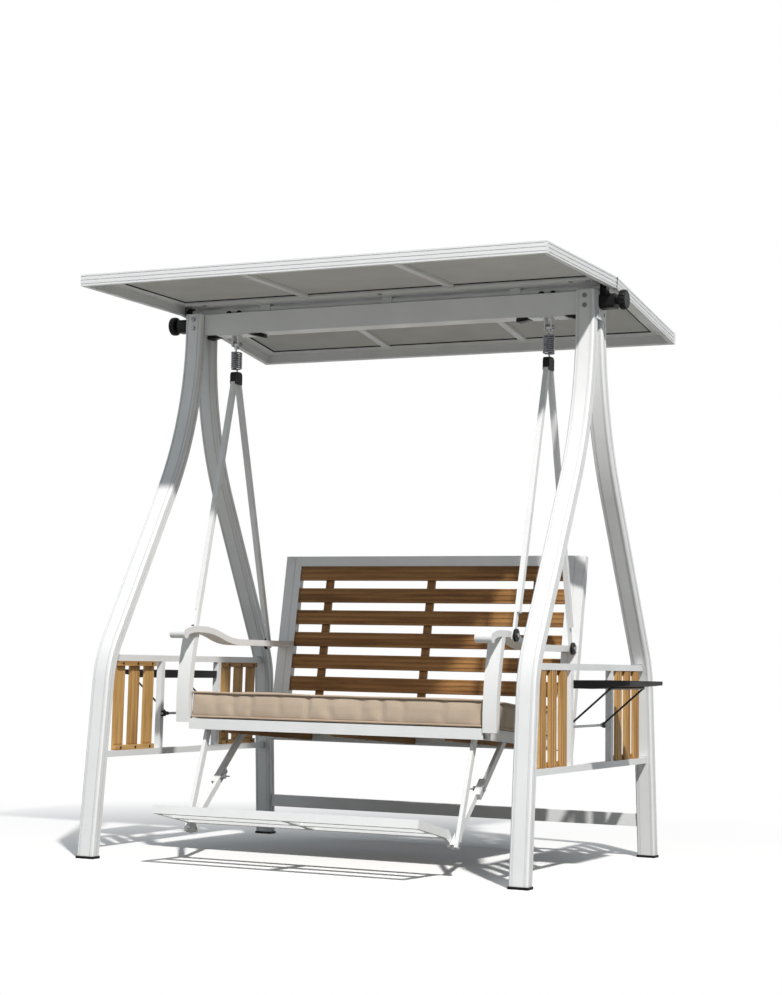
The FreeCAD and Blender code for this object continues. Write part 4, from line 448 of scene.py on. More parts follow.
@dataclass(frozen=True)
class Timber(Finish):
    """Oiled wood look boards, with painted shade in their flutes."""

    grain: Grain
    light: Colour = (0.65, 0.395, 0.150)
    middle: Colour = (0.51, 0.285, 0.098)
    dark: Colour = (0.21, 0.094, 0.030)
    hollow: float = 0.95
    hollow_reach: float = 0.009
    rub: float = 0.35
    rub_width: float = 0.0012
    light_range: Span = (0.0, 1.0, 0.42, 0.6)
    dark_range: Span = (0.55, 0.0, 0.34, 0.47)
    pore_share: float = 0.3
    grip_range: Span = (0.66, 0.52, 0.35, 0.65)
    relief: float = 0.0005
    relief_strength: float = 0.25
    specular: float = 0.3

    def paint(self, net: Net, shader: bpy.types.Node) -> None:
        """Wire streaks, pores, painted shade in the flutes and rubbed edges.

        Args:
            net: The material's net.
            shader: Its Principled shader.
        """
        turned = net.add("ShaderNodeMapping", {"Vector": net.object_place(), "Rotation": self.grain.value})
        grain = net.effect(Effect.GRAIN, Vector=turned.outputs[0])
        hollow = net.effect(Effect.HOLLOW, Reach=self.hollow_reach, Amount=self.hollow)["Mask"]
        rub = net.effect(Effect.RUB, Width=self.rub_width, Amount=self.rub)["Mask"]
        tone = net.mix(net.span(grain["Tone"], *self.light_range), self.middle, self.light)
        tone = net.mix(net.span(grain["Tone"], *self.dark_range), tone, self.dark)
        tone = net.mix(net.sum("MULTIPLY", grain["Pores"], self.pore_share), tone, self.dark)
        # Painted shade: flutes and close corners darkened towards the dark brown by the occlusion mask.
        tone = net.mix(hollow, tone, self.dark)
        height = net.sum("SUBTRACT", grain["Tone"], grain["Pores"])
        net.fill(shader, {"Base Color": net.mix(rub, tone, self.light),
                          "Roughness": net.span(grain["Tone"], *self.grip_range),
                          "Normal": net.bump(height, self.relief_strength, self.relief),
                          "Specular IOR Level": self.specular})


@dataclass(frozen=True)
class Cloth(Finish):
    """Woven outdoor fabric with uneven threads, on a map named cloth."""

    colour: Colour
    pale: Colour
    deep: Colour
    thread: float = 0.0012
    hollow: float = 0.4
    hollow_reach: float = 0.012
    slub_range: tuple[float, float] = (0.0, 0.55)
    shade_range: tuple[float, float] = (0.3, 0.0)
    fading_scale: float = 5.0
    fading_range: Span = (0.0, 0.3, 0.4, 0.7)
    grip_range: tuple[float, float] = (0.82, 0.95)
    relief: float = 0.0005
    relief_strength: float = 0.35
    sheen: float = 0.25
    sheen_roughness: float = 0.5

    def paint(self, net: Net, shader: bpy.types.Node) -> None:
        """Wire the weave, its slubs and broad fading.

        Args:
            net: The material's net.
            shader: Its Principled shader.
        """
        chart = net.add("ShaderNodeUVMap", uv_map="cloth").outputs[0]
        weave = net.effect(Effect.WEAVE, Vector=chart, Thread=self.thread)
        hollow = net.effect(Effect.HOLLOW, Reach=self.hollow_reach, Amount=self.hollow)["Mask"]
        fading = net.noise(net.object_place(), self.fading_scale, 3.0)
        colour = net.mix(net.span(weave["Slub"], *self.slub_range), self.colour, self.pale)
        colour = net.mix(net.span(weave["Shade"], *self.shade_range), colour, self.deep)
        colour = net.mix(net.span(fading, *self.fading_range), colour, self.deep)
        # Painted shade: creases and seams darkened towards the deep colour by the occlusion mask.
        net.fill(shader, {"Base Color": net.mix(hollow, colour, self.deep),
                          "Roughness": net.span(weave["Slub"], *self.grip_range),
                          "Normal": net.bump(weave["Height"], self.relief_strength, self.relief),
                          "Sheen Weight": self.sheen, "Sheen Roughness": self.sheen_roughness})


COAT_WHITES = ((0.80, 0.81, 0.82), (0.72, 0.73, 0.745), (0.84, 0.84, 0.84))
FASCIA_WHITES = ((0.77, 0.775, 0.79), (0.70, 0.705, 0.72), (0.82, 0.82, 0.82))
SHEET_GREYS = ((0.66, 0.665, 0.66), (0.58, 0.585, 0.58), (0.74, 0.74, 0.74))
PLASTIC_BLACKS = ((0.009, 0.009, 0.010), (0.014, 0.014, 0.015), (0.07, 0.07, 0.07))
COAT_BLACKS = ((0.012, 0.012, 0.013), (0.02, 0.02, 0.021), (0.14, 0.14, 0.14))
RUBBER_BLACKS = ((0.03, 0.03, 0.031), (0.04, 0.04, 0.041), (0.09, 0.09, 0.09))
# Darker copies of the board browns: painted shade for the seat and back boards, which lie under the canopy.
SHADED_BROWNS = ((0.38, 0.195, 0.065), (0.275, 0.132, 0.041), (0.10, 0.042, 0.015))

# The hollow amounts set how much painted shade lies in grooves; the posts take the most, in their flutes.
WHITE_COAT = Coat("powder_coat_white", *COAT_WHITES, 0.42, hollow=0.3)
FASCIA_COAT = Coat("powder_coat_fascia", *FASCIA_WHITES, 0.42)
POST_COAT = Coat("powder_coat_posts", *COAT_WHITES, 0.42, hollow=0.85)
ROOF_SHEET = Coat("roof_sheet", *SHEET_GREYS, 0.66, pitch=0.004, rub=0.1, hollow=0.3, specular=0.15)
BLACK_PLASTIC = Coat("moulded_black", *PLASTIC_BLACKS, 0.48, pitch=0.0009, peel=0.3, dust=0.03, rub=0.35,
                     specular=0.15)
BLACK_COAT = Coat("black_coat", *COAT_BLACKS, 0.36, dust=0.06, rub=0.4, specular=0.25)
SEAL_RUBBER = Coat("seal_rubber", *RUBBER_BLACKS, 0.75, pitch=0.0006, peel=0.4, dust=0.1, rub=0.3,
                   specular=0.2)
ZINC = Plating("zinc_plate", (0.34, 0.35, 0.36), (0.20, 0.21, 0.22), 0.36)
SPRING_WIRE = Plating("spring_wire", (0.22, 0.23, 0.25), (0.11, 0.115, 0.125), 0.28, streak=420.0)
BOARDS = {grain: Timber(f"boards_{grain.name.lower()}", grain) for grain in Grain}
SHADED_BOARDS = {grain: Timber(f"shaded_boards_{grain.name.lower()}", grain, *SHADED_BROWNS)
                 for grain in Grain}
CUSHION_CLOTH = Cloth("cushion_cloth", (0.50, 0.395, 0.30), (0.60, 0.49, 0.385), (0.33, 0.25, 0.185))
PIPING_CLOTH = Cloth("piping_cloth", (0.47, 0.355, 0.26), (0.57, 0.45, 0.34), (0.30, 0.22, 0.155),
                     thread=0.0009)


# Shared making.


def new_object(name: str, mesh: bpy.types.Mesh) -> bpy.types.Object:
    """Put a mesh into the scene at the origin.

    Args:
        name: The object's name.
        mesh: Its mesh.

    Returns:
        The new object.
    """
    piece = bpy.data.objects.new(name, mesh)
    bpy.context.scene.collection.objects.link(piece)
    return piece


def evaluated_mesh(piece: bpy.types.Object) -> bpy.types.Mesh:
    """Return a plain mesh of an object as its modifiers leave it."""
    graph = bpy.context.evaluated_depsgraph_get()
    return bpy.data.meshes.new_from_object(piece.evaluated_get(graph), depsgraph=graph)


def drop(piece: bpy.types.Object) -> None:
    """Remove a helper object."""
    bpy.data.objects.remove(piece, do_unlink=True)


def settle(piece: bpy.types.Object, body: str, finish: Finish | None = None) -> None:
    """Give a finished piece its finish and the body it rides on.

    Args:
        piece: The piece.
        body: The body that carries it.
        finish: Its finish, where its faces don't hold it yet.
    """
    if finish:
        piece.data.materials.clear()
        piece.data.materials.append(finish.material())
    piece.data.shade_smooth()
    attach(piece, body)
    LOG.info("%s rides on %s", piece.name, body)


def dress(finish: Finish, *nodes: str) -> None:
    """Give CAD nodes a finish.

    Args:
        finish: The finish.
        nodes: Names of the nodes.
    """
    for name in nodes:
        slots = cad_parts[name].data.materials
        slots.clear()
        slots.append(finish.material())
        LOG.info("%s takes %s", name, finish.name)


def solids(node: str, turn: Matrix = Matrix()) -> list[tuple[Vector, Vector]]:
    """Return the box of each separate solid of a CAD node.

    Args:
        node: The node's name.
        turn: How the frame of the boxes is turned in the model.

    Returns:
        Pairs of lowest and highest corner.
    """
    work = bmesh.new()
    work.from_mesh(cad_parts[node].data)
    bmesh.ops.remove_doubles(work, verts=work.verts, dist=1e-5)
    bmesh.ops.transform(work, matrix=turn.inverted(), verts=work.verts)
    boxes = []
    unseen = set(work.verts)
    while unseen:
        island = [unseen.pop()]
        for vert in island:
            near = {edge.other_vert(vert) for edge in vert.link_edges} & unseen
            unseen -= near
            island.extend(near)
        corners = list(zip(*(vert.co for vert in island)))
        boxes.append((Vector(map(min, corners)), Vector(map(max, corners))))
    work.free()
    return sorted(boxes, key=lambda pair: tuple(pair[0]))


def middle(pair: tuple[Vector, Vector]) -> Vector:
    """Return the middle of a box."""
    return (pair[0] + pair[1]) / 2


# Screws.


@dataclass(frozen=True)
class ScrewKind:
    """Sizes of a round screw head with a drive recess."""

    radius: float
    height: float
    recess: float = 0.5
    sides: int = 16


CROWN_RISE = 0.3
CROWN_SHARE = 0.75
RECESS_DEPTH = 0.6
PAN_HEAD = ScrewKind(0.0042, 0.0026)
PLUG_HEAD = ScrewKind(0.0085, 0.0045, recess=0.7, sides=24)
BOLT_HEAD = ScrewKind(0.0075, 0.0040, recess=0.45, sides=24)


class ScrewTree:
    """Geometry Nodes tree that seats one screw head on each point of a mesh."""

    def __init__(self) -> None:
        """Build the tree with its named inputs."""
        self.tree = bpy.data.node_groups.new("screw_heads", "GeometryNodeTree")
        kinds = {"Seats": "Geometry", "Radius": "Float", "Height": "Float", "Recess": "Float", "Sides": "Int",
                 "Finish": "Material", "Screws": "Geometry"}
        for label, kind in kinds.items():
            way = "OUTPUT" if label == "Screws" else "INPUT"
            self.tree.interface.new_socket(name=label, in_out=way, socket_type=f"NodeSocket{kind}")
        self.wire()

    def wire(self) -> None:
        """Wire the head, its recess, its seats and its finish."""
        net = Net(self.tree)
        entry = net.add("NodeGroupInput").outputs
        head = net.add("GeometryNodeMeshCylinder", {"Vertices": entry["Sides"], "Radius": entry["Radius"],
                                                    "Depth": entry["Height"]}, fill_type="NGON").outputs
        mesh, top = head["Mesh"], head["Top"]
        for rise, share in ((CROWN_RISE, CROWN_SHARE), (0.0, entry["Recess"]), (-RECESS_DEPTH, 1.0)):
            drawn = net.add("GeometryNodeExtrudeMesh", {
                "Mesh": mesh, "Selection": top, "Offset Scale": net.sum("MULTIPLY", entry["Height"], rise)})
            top = drawn.outputs["Top"]
            mesh = net.add("GeometryNodeScaleElements", {
                "Geometry": drawn.outputs["Mesh"], "Selection": top, "Scale": share}).outputs[0]
        facing = net.add("GeometryNodeInputNamedAttribute", {"Name": "facing"}, data_type="FLOAT_VECTOR")
        turn = net.add("FunctionNodeAlignRotationToVector", {"Vector": facing.outputs[0]}, axis="Z")
        points = net.add("GeometryNodeMeshToPoints", {"Mesh": entry["Seats"]})
        placed = net.add("GeometryNodeInstanceOnPoints", {"Points": points.outputs[0], "Instance": mesh,
                                                          "Rotation": turn.outputs[0]})
        solid = net.add("GeometryNodeRealizeInstances", {"Geometry": placed.outputs[0]})
        done = net.add("GeometryNodeSetMaterial", {"Geometry": solid.outputs[0], "Material": entry["Finish"]})
        net.add("NodeGroupOutput", {"Screws": done.outputs[0]})

    def seat(self, name: str, kind: ScrewKind, finish: Finish,
             spots: Iterable[tuple[Vector, Vector]]) -> bpy.types.Object:
        """Make one mesh of screws.

        Args:
            name: The piece's name.
            kind: The screws' sizes.
            finish: Their finish.
            spots: Seat and outward direction of each screw.

        Returns:
            The piece.
        """
        seats, facings = zip(*spots)
        mesh = bpy.data.meshes.new(name)
        mesh.from_pydata([tuple(seat) for seat in seats], [], [])
        attribute = mesh.attributes.new("facing", "FLOAT_VECTOR", "POINT")
        attribute.data.foreach_set("vector", [part for facing in facings for part in facing])
        piece = new_object(name, mesh)
        modifier = piece.modifiers.new("screws", "NODES")
        modifier.node_group = self.tree
        inputs = {"Radius": kind.radius, "Height": kind.height, "Recess": kind.recess, "Sides": kind.sides,
                  "Finish": finish.material()}
        for item in self.tree.interface.items_tree:
            if item.in_out == "INPUT" and item.name in inputs:
                modifier[item.identifier] = inputs[item.name]
        made = evaluated_mesh(piece)
        drop(piece)
        return new_object(name, made)


# Sub-assemblies.


@dataclass
class Stand:
    """Posts, beam, side panels and crossbar."""

    screws: ScrewTree
    batten_thickness: float = 0.010
    pad_start: float = 0.062
    pad_length: float = 0.042
    pad_half_depth: float = 0.022
    pad_thickness: tuple[float, float] = (0.003, 0.013)
    pad_round: float = 0.0012

    def panel_screws(self) -> None:
        """Screw the slats of the side panels to their battens from inside."""
        spots = []
        for batten in solids("side_battens"):
            across = middle(batten)
            inward = Vector((-math.copysign(1.0, across.x), 0.0, 0.0))
            for slat in solids("side_slats"):
                along = middle(slat)
                if along.x * across.x > 0 and batten[0].y < along.y < batten[1].y:
                    seat = Vector((across.x, along.y, across.z)) + inward * self.batten_thickness / 2
                    spots.append((seat, inward))
        settle(self.screws.seat("side_panel_screws", PAN_HEAD, BLACK_COAT, spots), "stand")

    def beam_pads(self) -> None:
        """Make the wedge pads under the beam on both sides of each hanger bracket."""
        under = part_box("top_beam")[0].z
        work = bmesh.new()
        for bracket in solids("hanger_brackets"):
            heart = middle(bracket)
            for side in (-1.0, 1.0):
                ends = [(heart.x + side * (self.pad_start + reach), thickness)
                        for reach, thickness in zip((0.0, self.pad_length), self.pad_thickness)]
                rows = [[work.verts.new((x, heart.y + self.pad_half_depth * across, under - thickness * down))
                         for across, down in ((-1, 0), (1, 0), (1, 1), (-1, 1))] for x, thickness in ends]
                for index in range(4):
                    after = (index + 1) % 4
                    work.faces.new((rows[0][index], rows[0][after], rows[1][after], rows[1][index]))
                work.faces.new(rows[0])
                work.faces.new(rows[1])
        bmesh.ops.recalc_face_normals(work, faces=work.faces)
        bmesh.ops.bevel(work, geom=work.edges, offset=self.pad_round, segments=2, affect="EDGES")
        mesh = bpy.data.meshes.new("beam_pads")
        work.to_mesh(mesh)
        work.free()
        settle(new_object("beam_pads", mesh), "stand", BLACK_PLASTIC)

    def build(self) -> None:
        """Add the panel screws and the beam's pads."""
        self.panel_screws()
        self.beam_pads()

    def dress(self) -> None:
        """Give the stand's nodes their finishes."""
        dress(POST_COAT, "post_front_left", "post_front_right", "post_rear_left", "post_rear_right")
        dress(WHITE_COAT, "top_beam", "beam_tongues", "head_plates", "hanger_brackets", "rear_crossbar",
              "side_frames")
        dress(BLACK_PLASTIC, "foot_caps", "tilt_housings", "tilt_knob_right", "tilt_knob_left", "rod_clips",
              "dome_bolts")
        dress(ZINC, "hanger_bolts", "table_rods")
        dress(SPRING_WIRE, "post_bolts", "plate_screws")
        dress(BOARDS[Grain.ALONG_Z], "side_slats")
        dress(BOARDS[Grain.ALONG_Y], "side_battens")


@dataclass
class Canopy:
    """Gabled hard roof on its pivot tube."""

    screws: ScrewTree
    bolt_places: tuple[float, ...] = (-0.712, 0.0, 0.712)
    bolt_sink: float = 0.002
    gable: float = math.radians(11)

    def build(self) -> None:
        """Bolt the front ridge rail from below at its ends and its middle."""
        low, high = min(solids("canopy_screws"), key=lambda pair: pair[0].y)
        seat_y, seat_z = (low.y + high.y) / 2, low.z + self.bolt_sink
        facing = Vector((0.0, math.sin(self.gable), -math.cos(self.gable)))
        spots = [(Vector((x, seat_y, seat_z)), facing) for x in self.bolt_places]
        settle(self.screws.seat("ridge_bolts", BOLT_HEAD, SPRING_WIRE, spots), "canopy")

    def dress(self) -> None:
        """Give the canopy's nodes their finishes."""
        dress(FASCIA_COAT, "canopy_rails")
        dress(WHITE_COAT, "canopy_flanges", "canopy_ribs", "ridge_rails", "pivot_tube", "tube_saddles")
        dress(ROOF_SHEET, "canopy_panels")
        dress(SEAL_RUBBER, "canopy_gaskets", "ridge_seal")
        dress(ZINC, "canopy_screws")


@dataclass
class Hangers:
    """Eyes and springs between the beam and the bench."""

    def dress(self) -> None:
        """Give the hangers' nodes their finishes."""
        dress(ZINC, "hanger_eyes")
        dress(SPRING_WIRE, "springs")


@dataclass
class Bench:
    """Seat, back, armrests and the bars that carry them."""

    screws: ScrewTree
    recline: float = math.radians(10)
    slat_half: float = 0.007
    batten_thickness: float = 0.010
    plug_drop: float = 0.075
    stile_depth: float = 0.028

    def build(self) -> None:
        """Screw the back and seat boards from behind and below, and plug the stiles."""
        behind = Vector((0.0, math.cos(self.recline), -math.sin(self.recline)))
        slats = [middle(slat) for slat in solids("back_slats")]
        battens = [middle(batten).x for batten in solids("back_battens")]
        lift = behind * (self.slat_half + self.batten_thickness)
        spots = [(Vector((x, slat.y, slat.z)) + lift, behind) for x in battens for slat in slats]
        down = SEAT_FALL @ Vector((0.0, 0.0, -1.0))
        boards = [middle(board).y for board in solids("seat_slats", SEAT_FALL)]
        spots += [(SEAT_FALL @ Vector((middle(bearer).x, y, bearer[0].z)), down)
                  for bearer in solids("seat_bearers", SEAT_FALL) for y in boards]
        settle(self.screws.seat("bench_screws", PAN_HEAD, ZINC, spots), "swing")

        drop_down = Vector((0.0, -math.sin(self.recline), -math.cos(self.recline))) * self.plug_drop
        plugs = []
        for low, high in solids("back_stiles"):
            top = high.z - math.sin(self.recline) * self.stile_depth
            plugs.append((Vector(((low.x + high.x) / 2, high.y, top)) + drop_down, behind))
        settle(self.screws.seat("stile_plugs", PLUG_HEAD, BLACK_PLASTIC, plugs), "swing")

    def dress(self) -> None:
        """Give the bench's nodes their finishes."""
        dress(WHITE_COAT, "swing_bars", "armrest_right", "armrest_left", "arm_uprights", "seat_rails",
              "back_stiles", "back_rails", "front_struts", "rear_struts")
        dress(SHADED_BOARDS[Grain.ALONG_X], "seat_slats", "back_slats")
        dress(SHADED_BOARDS[Grain.ALONG_Z], "back_battens")
        dress(SHADED_BOARDS[Grain.ALONG_Y], "seat_bearers")
        dress(BLACK_PLASTIC, "apex_joints", "arm_joint_caps")
        dress(ZINC, "arm_bolts", "strut_bolts", "wing_nut_right", "wing_nut_left")


@dataclass
class SeatCushion:
    """Boxed seat cushion with piped seams, swollen by its filling."""

    corner: float = 0.011
    inset: float = 0.0015
    blank_step: float = 0.012
    seam_drop: float = 0.010
    seam_lift: float = 0.005
    voxel: float = 0.00795
    slat_hold: float = 0.6
    edge_hold: float = 1.1
    seam_hold: float = 0.9
    pressure: float = 4.0
    cloth_mass: float = 0.25
    stretch: float = 12.0
    bend: float = 0.4
    frames: int = 20
    top_cap: float = 0.014
    side_cap: float = 0.0025
    piping_radius: float = 0.0034
    piping_step: float = 0.01
    piping_wander: tuple[float, float] = (0.0006, 0.0022)
    crease_seed: int = 7
    crease_gap: tuple[float, float] = (0.06, 0.15)
    crease_depth: tuple[float, float] = (0.004, 0.0095)
    crease_width: tuple[float, float] = (0.008, 0.019)
    crease_reach: float = 0.02
    crease_lean: float = 0.012
    crease_fullness: float = 0.6
    sag: float = 0.003
    top_rim: float = 0.004
    dimple_reach: float = 0.12
    dimple_depth: float = 0.003
    pucker_depth: float = 0.0016
    pucker_reach: float = 0.02
    lean_waves: Scale = (9.0, 2.0, 3.0)
    sag_waves: Scale = (7.0, 0.0, 11.0)
    dimple_waves: Scale = (5.0, 6.0, 5.0)
    pucker_waves: Scale = (26.0, 9.0, 8.0)
    piping_waves: Scale = (8.0, 30.0, 2.0)

    def __post_init__(self) -> None:
        """Read the cushion's space in the frame of the seat, which falls to the back."""
        self.low, self.high = solids("seat_cushion", SEAT_FALL)[0]
        self.centre = (self.low + self.high) / 2
        self.seam_low = self.low.z + self.seam_lift
        self.seam_high = self.high.z - self.seam_drop

    def ring(self, inset: float, step: float) -> list[Vector]:
        """Return the plan outline, a rounded rectangle, from the right end of the front edge.

        Args:
            inset: How far it lies inside the cushion's box.
            step: Spacing of its points.

        Returns:
            Points in plan, with zero height.
        """
        half = Vector((self.high.x - self.centre.x - inset, self.high.y - self.centre.y - inset))
        radius = self.corner - inset / 2
        inner = half - Vector((radius, radius))
        corners = ((1, -1), (1, 1), (-1, 1), (-1, -1))

        def on_arc(corner: int, degrees: float) -> Vector:
            """Return a point of a corner's arc.

            Args:
                corner: Which corner, from the front right one.
                degrees: The way the point lies from the arc's heart, from X.

            Returns:
                The point in plan, from the cushion's middle.
            """
            side_x, side_y = corners[corner % 4]
            angle = math.radians(degrees)
            spoke = radius * Vector((math.cos(angle), math.sin(angle)))
            return Vector((inner.x * side_x, inner.y * side_y)) + spoke

        points: list[Vector] = []
        turns = max(4, round(radius * math.pi / 2 / step))
        for corner in range(4):
            start = 90 * (corner - 1)
            points.extend(on_arc(corner, start + 90 * turn / turns) for turn in range(turns))
            end, begin = on_arc(corner, start + 90), on_arc(corner + 1, start + 90)
            runs = max(1, round((begin - end).length / step))
            points.extend(end.lerp(begin, run / runs) for run in range(runs))
        return [Vector((point.x + self.centre.x, point.y + self.centre.y, 0.0)) for point in points]

    def blank(self) -> bpy.types.Mesh:
        """Return the sewn cover before it is filled, a little smaller than the cushion."""
        work = bmesh.new()
        outline = self.ring(self.inset, self.blank_step)
        rings = [[work.verts.new((point.x, point.y, height)) for point in outline]
                 for height in (self.low.z, self.seam_low, self.seam_high)]
        for below, above in zip(rings, rings[1:]):
            for index in range(len(below)):
                after = (index + 1) % len(below)
                work.faces.new((below[index], below[after], above[after], above[index]))
        work.faces.new(reversed(rings[0]))
        work.faces.new(rings[-1])
        mesh = bpy.data.meshes.new("cushion_blank")
        work.to_mesh(mesh)
        work.free()
        return mesh

    def remeshed(self, mesh: bpy.types.Mesh) -> bpy.types.Mesh:
        """Return an even quad mesh of a closed form.

        Args:
            mesh: The closed form.

        Returns:
            A new mesh of small quads.
        """
        helper = new_object("cushion_helper", mesh)
        modifier = helper.modifiers.new("even", "REMESH")
        modifier.mode = "VOXEL"
        modifier.voxel_size = self.voxel
        made = evaluated_mesh(helper)
        drop(helper)
        return made

    def held(self, place: Vector) -> bool:
        """Return whether a point of the cover is held, at a seam or where it lies on the slats.

        Args:
            place: The point.

        Returns:
            True where it is held.
        """
        on_slats = place.z < self.low.z + self.voxel * self.slat_hold
        near_edge = self.edge_distance(place) < self.voxel * self.edge_hold
        to_seam = min(abs(place.z - self.seam_low), abs(place.z - self.seam_high))
        return on_slats or (near_edge and to_seam < self.voxel * self.seam_hold)

    def edge_distance(self, place: Vector) -> float:
        """Return how far a point lies inside the blank's outline.

        Args:
            place: The point.

        Returns:
            The distance, negative outside.
        """
        half = Vector((self.high.x - self.centre.x, self.high.y - self.centre.y)) - Vector((self.inset,) * 2)
        radius = self.corner - self.inset / 2
        away = Vector((abs(place.x - self.centre.x), abs(place.y - self.centre.y)))
        away = away - half + Vector((radius,) * 2)
        outside = Vector((max(away.x, 0.0), max(away.y, 0.0))).length
        return radius - outside - min(max(away.x, away.y), 0.0)

    def swollen(self, mesh: bpy.types.Mesh) -> list[Vector]:
        """Return the cover's points once the filling has swollen it.

        Args:
            mesh: The even mesh of the blank.

        Returns:
            The points, in the mesh's order.
        """
        helper = new_object("cushion_helper", mesh)
        group = helper.vertex_groups.new(name="held")
        group.add([vert.index for vert in mesh.vertices if self.held(vert.co)], 1.0, "REPLACE")
        cloth = helper.modifiers.new("filling", "CLOTH")
        settings = {"quality": 6, "mass": self.cloth_mass, "tension_stiffness": self.stretch,
                    "compression_stiffness": self.stretch, "bending_stiffness": self.bend,
                    "use_pressure": True, "uniform_pressure_force": self.pressure,
                    "vertex_group_mass": "held"}
        for label, value in settings.items():
            setattr(cloth.settings, label, value)
        cloth.settings.effector_weights.gravity = 0.0
        cloth.point_cache.frame_start = 1
        cloth.point_cache.frame_end = self.frames
        scene = bpy.context.scene
        for step in range(1, self.frames + 1):
            scene.frame_set(step)
        made = evaluated_mesh(helper)
        points = [vert.co.copy() for vert in made.vertices]
        drop(helper)
        scene.frame_set(1)
        return points

    def creases(self) -> list[tuple[float, float, float]]:
        """Return place, depth and width of each upright crease round the boxing."""
        chance = random.Random(self.crease_seed)
        length = 2 * (self.high.x - self.low.x + self.high.y - self.low.y)
        place = 0.0
        found = []
        while place < length:
            place += chance.uniform(*self.crease_gap)
            found.append((place, chance.uniform(*self.crease_depth), chance.uniform(*self.crease_width)))
        return found

    def girth(self, place: Vector) -> float:
        """Return how far round the boxing a point lies, by its nearest side.

        Args:
            place: The point.

        Returns:
            The way round in metres.
        """
        width, depth = self.high.x - self.low.x, self.high.y - self.low.y
        to_sides = (place.y - self.low.y, self.high.x - place.x, self.high.y - place.y, place.x - self.low.x)
        side = to_sides.index(min(to_sides))
        return (place.x - self.low.x, width + place.y - self.low.y, width + depth + self.high.x - place.x,
                2 * width + depth + self.high.y - place.y)[side]

    @staticmethod
    def ripple(waves: Scale, along: float, across: float = 0.0) -> float:
        """Return a smooth random value, by waves along and across and the layer of noise."""
        return noise.noise(Vector((along * waves[0], across * waves[1], waves[2])))

    def creased(self, place: Vector, creases: Sequence[tuple[float, float, float]]) -> Vector:
        """Return a point of the cover moved by the creases and hollows of sewn cloth.

        Args:
            place: The point.
            creases: Place, depth and width of each crease.

        Returns:
            The moved point.
        """
        moved = place.copy()
        near = self.edge_distance(place)
        boxing = max(0.0, 1.0 - max(near, 0.0) / self.crease_reach)
        tall = (place.z - self.seam_low) / (self.seam_high - self.seam_low)
        if boxing > 0.0 and 0.0 < tall < 1.0:
            way = self.girth(place)
            lean = self.crease_lean * self.ripple(self.lean_waves, way, tall)
            pull = sum(depth * math.exp(-(((way + lean - at) / width) ** 2)) for at, depth, width in creases
                       if abs(way + lean - at) < 3 * width)
            pull += self.sag * self.ripple(self.sag_waves, way)
            to_end = min(place.x - self.low.x, self.high.x - place.x)
            to_long_side = min(place.y - self.low.y, self.high.y - place.y)
            if to_end < to_long_side:
                inward = Vector((self.centre.x - place.x, 0.0, 0.0))
            else:
                inward = Vector((0.0, self.centre.y - place.y, 0.0))
            fullness = math.sin(math.pi * tall) ** self.crease_fullness
            moved += inward.normalized() * pull * boxing * fullness
        if place.z > self.seam_high - self.top_rim:
            inside = min(1.0, max(near, 0.0) / self.dimple_reach)
            dimple = self.ripple(self.dimple_waves, place.x, place.y)
            pucker = self.ripple(self.pucker_waves, self.girth(place), near)
            by_seam = math.exp(-((near - self.pucker_reach) / self.pucker_reach) ** 2)
            moved.z += self.dimple_depth * dimple * inside + self.pucker_depth * pucker * by_seam
        return moved

    def cover(self) -> bpy.types.Object:
        """Make the filled cover.

        Returns:
            The cushion.
        """
        mesh = self.remeshed(self.blank())
        start = [vert.co.copy() for vert in mesh.vertices]
        goal = self.swollen(mesh.copy())
        creases = self.creases()
        for vert, before, after in zip(mesh.vertices, start, goal):
            shift = after - before
            level = Vector((shift.x, shift.y, 0.0))
            if level.length > self.side_cap:
                level *= self.side_cap / level.length
            rise = min(max(shift.z, 0.0), self.top_cap)
            vert.co = self.creased(before + level + Vector((0.0, 0.0, rise)), creases)
            vert.co.z = max(vert.co.z, self.low.z)
        self.chart(mesh)
        piece = new_object("seat_cushion_cover", mesh)
        smooth = piece.modifiers.new("smooth", "SUBSURF")
        smooth.levels = 1
        smooth.render_levels = 1
        return piece

    @staticmethod
    def chart(mesh: bpy.types.Mesh) -> None:
        """Lay a map in metres on a mesh, from the side that each face looks to.

        Args:
            mesh: The mesh.
        """
        chart = mesh.uv_layers.new(name="cloth").data
        for face in mesh.polygons:
            axis = max(range(3), key=lambda part: abs(face.normal[part]))
            first, second = ((1, 2), (0, 2), (0, 1))[axis]
            for loop in face.loop_indices:
                place = mesh.vertices[mesh.loops[loop].vertex_index].co
                chart[loop].uv = (place[first], place[second])

    def piping(self) -> bpy.types.Object:
        """Make the piping round the upper and the lower seam.

        Returns:
            The piping.
        """
        curve = bpy.data.curves.new("cushion_piping", "CURVE")
        curve.dimensions = "3D"
        curve.bevel_depth = self.piping_radius
        curve.bevel_resolution = 3
        curve.resolution_u = 3
        for height, wander in zip((self.seam_low, self.seam_high), self.piping_wander):
            ring = self.ring(self.inset, self.piping_step)
            spline = curve.splines.new("NURBS")
            spline.points.add(len(ring) - 1)
            for point, place in zip(spline.points, ring):
                lift = wander * self.ripple(self.piping_waves, self.girth(place), height)
                point.co = (place.x, place.y, height + lift, 1.0)
            spline.use_cyclic_u = True
            spline.order_u = 4
        helper = bpy.data.objects.new("cushion_piping", curve)
        bpy.context.scene.collection.objects.link(helper)
        mesh = evaluated_mesh(helper)
        drop(helper)
        for layer in list(mesh.uv_layers):
            mesh.uv_layers.remove(layer)
        self.chart(mesh)
        return new_object("seat_cushion_piping", mesh)

    def build(self) -> None:
        """Make the cushion and its piping, and lay them on the seat."""
        cover, piping = self.cover(), self.piping()
        for piece in (cover, piping):
            piece.data.transform(SEAT_FALL)
        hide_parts("seat_cushion")
        settle(cover, "swing", CUSHION_CLOTH)
        settle(piping, "swing", PIPING_CLOTH)


